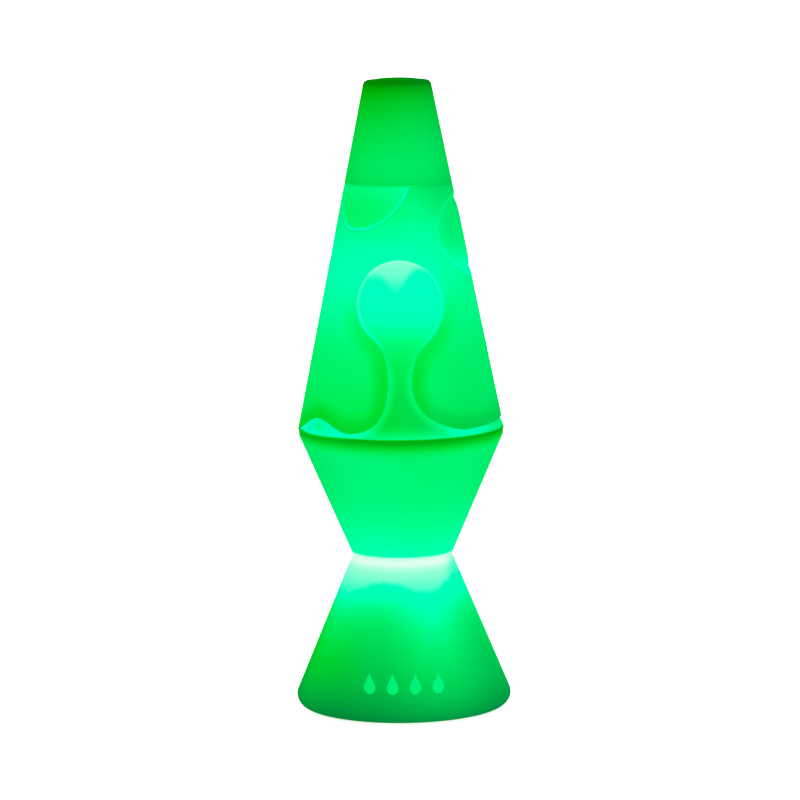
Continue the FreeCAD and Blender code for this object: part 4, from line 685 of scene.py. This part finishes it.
def base_piece():
    """Base cone: a closed profile turned about Z, with the drops raised on its front and the button's hole.

    Round the button the grid is squeezed onto a circle: a point at share m of the way from the middle of
    a square block to its edge goes to the circle at the hole's share, and to its own place at the edge.
    The cells inside the hole's share are left out, and a tube joins the outer hole to the inner one.
    """
    columns = 400
    hole_low, hole_high, rows = BUTTON_HEIGHT - BUTTON_BLOCK, BUTTON_HEIGHT + BUTTON_BLOCK, BUTTON_ROWS
    inner_floor = base_cone(LIP_TOP) - BASE_WALL
    low_part = rounded([
        (base_cone(hole_low) - BASE_WALL, hole_low, 0), (inner_floor, LIP_TOP, BASE_INNER_CORNER),
        (PLATE_LIP, LIP_TOP, EDGE_ROUND), (PLATE_LIP, PLATE_TOP, 0), (PLATE_SEAT, PLATE_TOP, 0),
        (PLATE_SEAT, FOOT, EDGE_ROUND), (BASE_RADIUS, FOOT, BASE_CORNER),
        (base_cone(hole_low), hole_low, 0)], 12)
    drop = BASE_WALL * BASE_SLOPE / (1 + BASE_SLOPE**2)
    outer_levels = np.linspace(hole_low, hole_high, rows)
    inner_levels = outer_levels[::-1] - drop
    high_part = rounded([
        (base_cone(hole_high), hole_high, 0), (BASE_TOP_RADIUS, WAIST, EDGE_ROUND),
        (BASE_TOP_RADIUS - BASE_WALL, WAIST, 0), (base_cone(hole_high) - BASE_WALL, hole_high, 0)], 5)
    low_part = filled(low_part, 0.65, False)
    high_part = filled(high_part, 1.6, False)
    outer = np.stack([base_cone(outer_levels), outer_levels], axis=1)
    inner = np.stack([base_cone(inner_levels) - BASE_WALL, inner_levels], axis=1)
    profile = np.vstack([low_part[:-1], outer, high_part[1:-1], inner])
    first = len(low_part) - 1
    back = len(low_part) - 1 + rows + len(high_part) - 2
    angle = np.tile(facing_angles(columns, 0.3), (len(profile), 1))
    radius = np.tile(profile[:, :1], (1, columns))
    height = np.tile(profile[:, 1:], (1, columns))

    # drops on the front
    skin = (height > MARK_LEVEL - MARK_HEIGHT) & (height < MARK_LEVEL + MARK_HEIGHT)
    skin &= np.abs(radius - base_cone(height)) < 0.01
    skin &= np.cos(angle) > 0.7
    a, h = angle[skin], height[skin]
    a = (a + math.pi) % (2 * math.pi) - math.pi
    marks = np.full(a.shape, -1e3)
    spots = np.stack([a, h], axis=-1)
    shape = smooth_line(DROP, True) * (MARK_WIDTH / 2, MARK_HEIGHT / 2)
    for i in range(4):
        outline = shape + ((i - 1.5) * MARK_PITCH, MARK_LEVEL)
        found, spot = inset(a, h, outline, 0.0, base_cone, BASE_SLOPE, True)
        better = found > marks
        marks[better] = found[better]
        spots[better] = spot[better]
    a, h, marks = crisp(a, h, marks, spots, 0.2, 0.75)
    angle[skin], height[skin] = a, h
    mark = np.full(angle.shape, -5.0)
    mark[skin] = np.maximum(marks, -5.0)
    rise = np.clip(mark / 0.45, 0, 1)
    radius[skin] = base_cone(h) + MARK_PROUD * (rise * (2 - rise))[skin]

    # the button's hole
    middle = columns // 2
    half_rows = (rows - 1) // 2
    spacing = (angle[0, middle + 1] - angle[0, middle]) * base_cone(BUTTON_HEIGHT)
    half_columns = round((hole_high - hole_low) / 2 / spacing)
    along_rows = np.linspace(-1, 1, rows)[:, None]
    along_columns = np.linspace(-1, 1, 2 * half_columns + 1)[None, :]
    away = np.maximum(np.abs(along_rows), np.abs(along_columns))
    rim = round(half_rows * 0.5) / half_rows
    bearing = np.arctan2(along_rows, along_columns)
    pull = np.clip((1 - away) / (1 - rim), 0, 1)
    stretch = math.hypot(1, BASE_SLOPE)
    block = slice(middle - half_columns, middle + half_columns + 1)
    faces = ((first, 1, BUTTON_HEIGHT, 0.0), (back, -1, BUTTON_HEIGHT - drop, BASE_WALL))
    for start, flip, level, inward in faces:
        band = slice(start, start + rows)
        target_height = level + flip * BUTTON_HOLE * np.sin(bearing) / stretch
        target_angle = math.pi + BUTTON_HOLE * np.cos(bearing) / (base_cone(target_height) - inward)
        angle[band, block] += (target_angle - angle[band, block]) * pull
        height[band, block] += (target_height - height[band, block]) * pull
        radius[band, block] = base_cone(height[band, block]) - inward

    quads = grid_faces(len(profile), columns, True)
    row, column = quads[:, 0] // columns, quads[:, 0] % columns
    ring = round(half_rows * rim)
    ring_columns = round(half_columns * rim)
    across = (column >= middle - ring_columns) & (column < middle + ring_columns)
    kept = np.ones(len(quads), bool)
    loops = []
    for start in (first, back):
        centre = start + half_rows
        kept &= ~(across & (row >= centre - ring) & (row < centre + ring))
        i = np.arange(-ring, ring)
        j = np.arange(-ring_columns, ring_columns)
        way = 1 if start == first else -1
        loops.append(middle + np.concatenate([
            (centre - way * ring) * columns + j, (centre + way * i) * columns + ring_columns,
            (centre + way * ring) * columns - j, (centre - way * i) * columns - ring_columns]))
    outside, within = loops
    tube = np.stack([outside, within, np.roll(within, -1), np.roll(outside, -1)], axis=1)
    quads = np.vstack([quads[kept], tube])
    points = turned_points(angle, radius, height).reshape(-1, 3)
    used = np.zeros(len(points), bool)
    used[quads] = True
    number = np.cumsum(used) - 1
    return add_piece(
        "base_skin", points[used], number[quads], glow_finish("lit_base", base_level), "lamp",
        ["base_shell"], {"mark": mark.ravel()[used]})


def cup_piece():
    """Cup: a closed profile turned about Z, from the neck up the cone to the lip and back down inside."""
    lip_foot = RIM - RIM_BAND
    floor = WAIST + CUP_FLOOR
    profile = filled(rounded([
        (NECK_RADIUS, WAIST - NECK_LENGTH, EDGE_ROUND), (NECK_RADIUS, WAIST, 0),
        (CUP_BOTTOM_RADIUS, WAIST, EDGE_ROUND),
        (RIM_RADIUS, lip_foot, 1.2), (RIM_RADIUS, RIM, EDGE_ROUND), (RIM_RADIUS - SHELL_WALL, RIM, 0),
        (RIM_RADIUS - SHELL_WALL, lip_foot, 0), (cup_cone(floor) - SHELL_WALL, floor, 0),
        (NECK_RADIUS - NECK_WALL, floor, 0), (NECK_RADIUS - NECK_WALL, WAIST - NECK_LENGTH, 0)]), 1.2, True)
    angle = facing_angles(300)
    points = turned_points(angle[None, :], profile[:, :1], profile[:, 1:] + 0 * angle[None, :])
    quads = grid_faces(len(profile), len(angle), True)
    return add_piece(
        "cup_skin", points, quads, glow_finish("lit_cup", cup_level), "lamp", ["cup_shell"])


def globe_piece():
    """Globe: a closed profile turned about Z. Its outer face takes the lava's relief.

    Inside an outline the height above the cone is proud * dome - sunk * (1 - dome), where the dome is a
    parabola over the first millimetres in from the outline, and proud goes from the rim's value to the
    seam's.
    """
    columns = 420
    face = np.linspace(RIM + EDGE_ROUND, SEAM - EDGE_ROUND, 206)
    tongue_top = SEAM + CAP_TONGUE
    tongue_foot = RIM - RIM_TONGUE
    fit = SHELL_WALL + TONGUE_GAP
    low_part = [
        (cup_cone(tongue_foot) - fit - TONGUE_WALL, tongue_foot), (cup_cone(tongue_foot) - fit, tongue_foot),
        (RIM_RADIUS - fit, RIM - RIM_BAND), (RIM_RADIUS - fit, RIM), (GLOBE_RADIUS - EDGE_ROUND, RIM),
        (GLOBE_RADIUS - EDGE_ROUND * 0.3, RIM + EDGE_ROUND * 0.3)]
    high_part = [
        (upper_cone(SEAM) - EDGE_ROUND * 0.3, SEAM - EDGE_ROUND * 0.3), (upper_cone(SEAM) - EDGE_ROUND, SEAM),
        (upper_cone(SEAM) - fit, SEAM), (upper_cone(tongue_top) - fit, tongue_top),
        (upper_cone(tongue_top) - fit - TONGUE_WALL, tongue_top),
        (upper_cone(SEAM) - fit - TONGUE_WALL, SEAM), (upper_cone(SEAM - 3) - SHELL_WALL, SEAM - 3),
        (upper_cone(RIM + 3) - SHELL_WALL, RIM + 3), (RIM_RADIUS - fit - TONGUE_WALL, RIM - RIM_BAND)]
    outer = np.stack([upper_cone(face), face], axis=1)
    profile = np.vstack([low_part, outer, filled(np.array(high_part), 8.0, False)])
    first, rows = len(low_part), len(face)
    angle = np.tile(facing_angles(columns, 0.3), (len(profile), 1))
    radius = np.tile(profile[:, :1], (1, columns))
    height = np.tile(profile[:, 1:], (1, columns))
    band = slice(first, first + rows)
    a, h = angle[band].ravel(), height[band].ravel()
    lava = np.full(a.shape, -1e3)
    spots = np.stack([a, h], axis=-1)
    for turn, closed, corners in LAVA.values():
        outline = smooth_line(corners, closed) * (GLOBE_RADIUS, GLOBE_HEIGHT) + (0, RIM)
        found, spot = inset(a, h, outline, math.radians(turn), upper_cone, UPPER_SLOPE, closed)
        better = (found > lava) & ((found > 0) | (lava < 0))
        lava[better] = found[better]
        spots[better] = spot[better]
    a, h, lava = crisp(a, h, lava, spots, 0.3, 0.85)
    h = np.clip(h, RIM + EDGE_ROUND, SEAM - EDGE_ROUND)
    run = np.clip(lava / RELIEF_RUN, 0, 1)
    dome = run * (2 - run)
    up = (h - RIM) / GLOBE_HEIGHT
    proud = RELIEF_RIM_PROUD + (RELIEF_SEAM_PROUD - RELIEF_RIM_PROUD) * np.clip(up * 1.6, 0, 1)
    relief = np.where(lava > 0, proud * dome - RELIEF_SUNK * (1 - dome), 0.0)
    angle[band], height[band] = a.reshape(rows, columns), h.reshape(rows, columns)
    radius[band] = (upper_cone(h) + relief).reshape(rows, columns)
    depth = np.full(angle.shape, -12.0)
    depth[band] = np.clip(lava, -12, 14).reshape(rows, columns)
    depth[:first] = depth[first]
    depth[first + rows:] = depth[first + rows - 1]
    points = turned_points(angle, radius, height)
    quads = grid_faces(len(profile), columns, True)
    return add_piece(
        "globe_skin", points, quads, glow_finish("lit_globe", globe_level), "lamp",
        ["globe_shell"], {"lava": depth})


def cap_piece():
    """Cap: a profile from its inner top's middle, down inside, out at the seam and up to its outer middle."""
    inner_top = CAP_TOP - SHELL_WALL
    profile = filled(rounded([
        (0, inner_top, 0), (upper_cone(inner_top) - SHELL_WALL, inner_top, 1.0),
        (upper_cone(SEAM) - SHELL_WALL, SEAM, 0),
        (upper_cone(SEAM), SEAM, EDGE_ROUND), (TOP_RADIUS, CAP_TOP, CAP_CORNER),
        (DISC_RADIUS, CAP_TOP, 0.25), (DISC_RADIUS, TOP, 0.25), (0, TOP, 0)]), 0.8, False)
    angle = facing_angles(300)
    ring = profile[1:-1]
    points = turned_points(angle[None, :], ring[:, :1], ring[:, 1:] + 0 * angle[None, :]).reshape(-1, 3)
    poles = [[0, 0, inner_top], [0, 0, TOP]]
    quads = grid_faces(len(ring), len(angle), False)
    j = np.arange(len(angle))
    on = (j + 1) % len(angle)
    last = (len(ring) - 1) * len(angle)
    start, end = len(points), len(points) + 1
    fans = np.concatenate([
        np.stack([np.full_like(j, start), on, j], axis=1),
        np.stack([last + j, last + on, np.full_like(j, end)], axis=1)])
    return add_piece(
        "cap_skin", np.vstack([points, poles]), quads, glow_finish("lit_cap", cap_level), "lamp",
        ["cap_shell"], triangles=fans)


base_piece()
cup_piece()
globe_piece()
cap_piece()


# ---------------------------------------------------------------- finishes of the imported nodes


def tinted(finish, share, first, second):
    """Base colour that runs from one screen colour to another."""
    finish.into("Base Color", finish.mix(share, (*seen(*first), 1), (*seen(*second), 1)))


def moulded_finish(name, light, dark, glow=0.0):
    """Spark-eroded mouldings: a fine even grain, faint flow clouds, and some of the green light behind."""
    finish = Finish(name, Specular_IOR_Level=0.35, Emission_Strength=glow)
    grain = finish.noise(1800.0, 3.0)
    clouds = finish.noise(60.0, 3.0)
    tinted(finish, clouds * 0.7 + grain * 0.3, dark, light)
    finish.into("Roughness", 0.42 + grain * 0.2)
    if glow:
        near = finish.smooth(finish.math("SQRT", finish.x * finish.x + finish.y * finish.y), 50.0, 10.0)
        share = near * 0.6 + clouds * 0.3
        finish.into("Emission Color", finish.mix(share, (0, 0.10, 0.03, 1), (0, 0.42, 0.2, 1)))
    finish.bumps(grain, 0.00004, 0.7)
    return finish.material


def rubber_finish():
    """Soft feet: dark, dull and faintly dusty, with a pressed dimple pattern."""
    finish = Finish("foot_rubber", Specular_IOR_Level=0.3)
    dots = finish.node("ShaderNodeTexVoronoi", {"Vector": finish.place, "Scale": 1400.0})
    dust = finish.noise(260.0, 4.0)
    tinted(finish, finish.smooth(dust, 0.45, 0.75), (38, 40, 42), (74, 77, 78))
    finish.into("Roughness", 0.7 + dust * 0.25)
    finish.bumps(dots, 0.00006, 0.8)
    return finish.material


def steel_finish(name, light, dark, streak):
    """Plated metal with fine drawn streaks and a little tarnish."""
    finish = Finish(name, Metallic=1.0)
    stretched = finish.node("ShaderNodeMapping", {"Vector": finish.place, "Scale": (1.0, streak, 1.0)})
    lines = finish.noise(2400.0, 2.0, stretched)
    tarnish = finish.noise(320.0, 3.0)
    tinted(finish, lines * 0.4 + tarnish * 0.6, dark, light)
    finish.into("Roughness", 0.2 + tarnish * 0.25)
    finish.bumps(lines, 0.00002, 0.5)
    return finish.material


def cell_finish(name, way, half, wall):
    """A cell's printed sleeve: dark with a copper band at the positive end, bare metal at both ends."""
    finish = Finish(name, Specular_IOR_Level=0.5)
    place = finish.x * way
    band = finish.smooth(place, half * 0.56, half * 0.56 + 0.3)
    end = finish.smooth(finish.math("ABSOLUTE", finish.x), half - wall, half - wall + 0.15)
    scuffs = finish.noise(520.0, 4.0)
    sleeve = finish.mix(band, (*seen(30, 34, 38), 1), (*seen(186, 116, 62), 1))
    worn = finish.mix(finish.smooth(scuffs, 0.62, 0.8) * 0.5, sleeve, (*seen(120, 122, 124), 1))
    finish.into("Base Color", finish.mix(end, worn, (*seen(196, 197, 194), 1)))
    finish.into("Metallic", finish.math("MAXIMUM", end, band * 0.6))
    finish.into("Roughness", 0.25 + scuffs * 0.2)
    finish.bumps(scuffs, 0.00002, 0.5)
    return finish.material


def board_finish(name, mask, track):
    """A circuit board: solder mask over tracks that show as raised, lighter lines, with tinned vias."""
    finish = Finish(name, Specular_IOR_Level=0.5)
    brick = finish.node("ShaderNodeTexBrick", {
        "Vector": finish.place, "Scale": 260.0, "Mortar Size": 0.035, "Mortar Smooth": 0.3,
        "Row Height": 0.33}, out=1)
    vias = finish.node("ShaderNodeTexVoronoi", {"Vector": finish.place, "Scale": 330.0})
    dot = finish.smooth(0.16 - vias, 0.0, 0.03)
    cloth = finish.noise(2200.0, 2.0)
    plain = finish.mix(brick, (*seen(*mask), 1), (*seen(*track), 1))
    finish.into("Base Color", finish.mix(dot, plain, (*seen(188, 190, 186), 1)))
    finish.into("Metallic", dot * 0.8)
    finish.into("Roughness", 0.28 + cloth * 0.15)
    finish.bumps(brick * 0.8 + dot + cloth * 0.2, 0.00003, 0.8)
    return finish.material


def lens_finish():
    """LEDs: a clear green lens over a brighter die."""
    finish = Finish("led_lens", Roughness=0.15, Emission_Strength=1.0)
    glints = finish.noise(900.0, 2.0)
    finish.into("Emission Color", finish.mix(glints, (0.02, 0.75, 0.35, 1), (0.55, 1.0, 0.8, 1)))
    tinted(finish, glints, (150, 220, 180), (220, 245, 230))
    finish.bumps(glints, 0.00002, 0.5)
    return finish.material


def diffuser_finish():
    """The milky dome over the upper LEDs, brightest at its crown."""
    finish = Finish("diffuser", Specular_IOR_Level=0.4, Emission_Strength=0.9)
    low, high = low_high("diffuser_dome")
    crown = finish.smooth(finish.z, low[2], high[2])
    haze = finish.noise(400.0, 3.0)
    finish.into("Emission Color", finish.mix(crown * 0.8 + haze * 0.2, (0, 0.5, 0.2, 1), (0.5, 1.0, 0.75, 1)))
    tinted(finish, haze, (205, 220, 210), (228, 238, 232))
    finish.into("Roughness", 0.35 + haze * 0.2)
    finish.bumps(haze, 0.00003, 0.5)
    return finish.material


def button_finish():
    """The colour button: satin light grey, lit green at its edge by the light round its hole."""
    finish = Finish("button_grey", Specular_IOR_Level=0.35, Emission_Strength=0.6)
    across = finish.x
    up = finish.z - BUTTON_HEIGHT
    off_axis = finish.math("SQRT", across * across + up * up)
    rim = finish.smooth(off_axis, 2.4, 4.6)
    grain = finish.noise(2000.0, 3.0)
    finish.into("Emission Color", finish.mix(rim * 0.9 + grain * 0.1, (0, 0.12, 0.05, 1), (0, 0.52, 0.2, 1)))
    tinted(finish, grain, (112, 140, 122), (136, 164, 146))
    finish.into("Roughness", 0.4 + grain * 0.15)
    finish.bumps(grain, 0.00003, 0.6)
    return finish.material


def jacket_finish(name, light, dark):
    """A soft plastic jacket with a little scuffing and the slight ripple of the strands under it."""
    finish = Finish(name, Specular_IOR_Level=0.45)
    strands = {"Vector": finish.place, "Scale": 260.0, "Distortion": 2.0}
    wave = finish.node("ShaderNodeTexWave", strands, out=1)
    scuffs = finish.noise(700.0, 3.0)
    tinted(finish, scuffs * 0.7 + wave * 0.3, dark, light)
    finish.into("Roughness", 0.38 + scuffs * 0.25)
    finish.bumps(wave + scuffs * 0.5, 0.00002, 0.6)
    return finish.material


def sleeve_finish():
    """The capacitor's sleeve: dark blue with a light stripe down one side."""
    finish = Finish("capacitor_sleeve", Specular_IOR_Level=0.5)
    low, high = low_high("board_capacitor")
    middle = (low + high) / 2
    round_it = finish.math("ARCTAN2", finish.x - middle[0], finish.y - middle[1])
    stripe = finish.smooth(finish.math("ABSOLUTE", round_it), 0.55, 0.5)
    speckle = finish.noise(1500.0, 2.0)
    tinted(finish, stripe * 0.9 + speckle * 0.1, (22, 30, 62), (150, 160, 190))
    finish.into("Roughness", 0.3 + speckle * 0.2)
    finish.bumps(speckle, 0.00002, 0.4)
    return finish.material


def dress(finish, *names):
    """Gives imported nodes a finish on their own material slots."""
    for name in names:
        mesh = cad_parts[name].data
        if not mesh.materials:
            mesh.materials.append(finish)
        for place in range(len(mesh.materials)):
            mesh.materials[place] = finish


def dress_nodes():
    """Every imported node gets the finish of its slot."""
    housing = moulded_finish("housing_white", (176, 192, 181), (150, 168, 156), 0.25)
    dress(housing, "bottom_housing", "battery_door")
    inner = moulded_finish("inner_white", (196, 200, 193), (168, 172, 165))
    dress(inner, "neck_lock_ring", "harness_plug", "light_mast", "led_drum")
    dress(rubber_finish(), "rubber_feet")
    screws = steel_finish("screw_steel", (196, 198, 200), (128, 130, 134), 6.0)
    dress(screws, "housing_screws", "button_board_screws", "control_board_screws", "mast_screws")
    nickel = steel_finish("nickel", (214, 208, 192), (160, 154, 138), 2.0)
    dress(nickel, "contact_springs", "contact_plates", "contact_tails", "slide_switch", "tact_switch")
    black = moulded_finish("black_plastic", (44, 46, 48), (24, 25, 27))
    dress(black, "power_slider", "switch_lever", "tact_plunger", "controller_chip")
    dress(board_finish("board_green", (18, 92, 52), (40, 132, 78)), "button_board", "control_board")
    dress(board_finish("board_white", (224, 226, 220), (202, 205, 200)), "led_strip", "upper_led_board")
    dress(lens_finish(), "lower_leds", "upper_leds")
    dress(diffuser_finish(), "diffuser_dome")
    dress(button_finish(), "colour_button")
    dress(jacket_finish("lead_jacket", (190, 44, 36), (140, 26, 22)), "switch_lead", "button_lead")
    dress(jacket_finish("harness_jacket", (206, 208, 204), (168, 171, 168)), "led_harness")
    dress(sleeve_finish(), "board_capacitor")
    for i, way in ((1, -1), (2, 1), (3, -1)):
        low, high = low_high(f"battery_cell_{i}")
        half = (high[0] - low[0]) / 2
        dress(cell_finish(f"cell_wrap_{i}", way, half, 1.4), f"battery_cell_{i}")


def door_grip():
    """Curved ridges on the battery door by its finger notch: half-round bars along arcs.

    A point of a bar is at an arc's angle about the notch, at the arc's radius plus the bar's radius times the
    sine of the section's angle, and proud of the door by the cosine. The ends close on the middle of the bar.
    """
    high = low_high("battery_door")[1]
    plate_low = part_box("bottom_housing")[0][2] / MM
    centre_y = high[1] + 1.0
    bar, sections, steps, reach = 0.4, 9, 33, 0.75
    everything, quads = [], []
    for ridge in range(4):
        radius = 6.5 + ridge * 1.7
        turn = np.linspace(-reach, reach, steps)[:, None]
        section = np.linspace(-math.pi / 2, math.pi / 2, sections)[None, :]
        taper = np.sqrt(np.clip(1 - (turn / reach) ** 6, 0, 1))
        away = radius + bar * taper * np.sin(section)
        points = np.stack([
            away * np.sin(turn), centre_y - away * np.cos(turn),
            plate_low - bar * 0.8 * taper * np.cos(section) + 0.02 + 0 * turn], axis=-1)
        start = ridge * steps * sections
        everything.append(points.reshape(-1, 3))
        i, j = np.meshgrid(np.arange(steps - 1), np.arange(sections), indexing="ij")
        on = (j + 1) % sections
        near, far = i * sections, (i + 1) * sections
        cells = np.stack([near + j, far + j, far + on, near + on], axis=-1)
        quads.append(cells.reshape(-1, 4) + start)
    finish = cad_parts["battery_door"].data.materials[0]
    return add_piece("door_grip", np.vstack(everything), np.vstack(quads), finish, "door")


dress_nodes()
door_grip()


# ---------------------------------------------------------------- floor, light and camera


def pale_floor():
    """A wide plain floor under the feet, lit so evenly that it reads as pure white, and clear from below."""
    mesh = bpy.data.meshes.new("floor")
    side = 30.0
    sunk = -0.00005
    corners = [(-side, -side, sunk), (side, -side, sunk), (side, side, sunk), (-side, side, sunk)]
    mesh.from_pydata(corners, [], [(0, 1, 2, 3)])
    floor = bpy.data.objects.new("floor", mesh)
    bpy.context.scene.collection.objects.link(floor)
    finish = Finish("pale_floor", Base_Color=(0.86, 0.86, 0.86, 1), Roughness=0.9, Specular_IOR_Level=0.0,
                    Emission_Color=(1, 1, 1, 1), Emission_Strength=0.75)
    below = finish.node("ShaderNodeNewGeometry", out="Backfacing")
    clear = finish.node("ShaderNodeBsdfTransparent")
    lit = Wire(finish, finish.shader.outputs[0])
    either = finish.node("ShaderNodeMixShader", {0: below, 1: lit, 2: clear})
    finish.tree.links.new(either.socket, finish.tree.nodes["Material Output"].inputs["Surface"])
    mesh.materials.append(finish.material)


def studio():
    """White surroundings and two broad soft lights, one at the front and one at the back."""
    world = bpy.data.worlds.new("studio")
    world.use_nodes = True
    backdrop = world.node_tree.nodes["Background"]
    backdrop.inputs["Color"].default_value = (1, 1, 1, 1)
    backdrop.inputs["Strength"].default_value = 1.0
    bpy.context.scene.world = world
    for name, place in (("front_light", (0.35, -1.6, 1.1)), ("back_light", (-0.3, 1.6, 1.1))):
        lamp = bpy.data.lights.new(name, "AREA")
        lamp.size = 1.2
        lamp.energy = 14.0
        light = bpy.data.objects.new(name, lamp)
        aim = Vector((0, 0, 0.14)) - Vector(place)
        light.matrix_world = Matrix.Translation(place) @ aim.to_track_quat("-Z", "Y").to_matrix().to_4x4()
        bpy.context.scene.collection.objects.link(light)


def camera():
    """A long lens a little above the lamp, looking slightly down, the lamp's top leaning left by a hair."""
    away, above, aim = 1.883, 0.400, 0.1376
    pitch = math.atan((above - aim) / away)
    roll = math.radians(0.66)
    forward = Vector((0, math.cos(pitch), -math.sin(pitch)))
    right, up = Vector((1, 0, 0)), Vector((0, math.sin(pitch), math.cos(pitch)))
    level_right = right * math.cos(roll) - up * math.sin(roll)
    level_up = right * math.sin(roll) + up * math.cos(roll)
    eye = bpy.data.cameras.new("camera")
    eye.sensor_width = 36.0
    eye.lens = 193.05
    eye.shift_x = -0.000875
    eye.clip_end = 100.0
    view = bpy.data.objects.new("camera", eye)
    turn = Matrix((level_right, level_up, -forward)).transposed().to_4x4()
    view.matrix_world = Matrix.Translation((0, -away, above)) @ turn
    bpy.context.scene.collection.objects.link(view)
    bpy.context.scene.camera = view


pale_floor()
studio()
camera()
bpy.context.scene.view_settings.view_transform = "Standard"
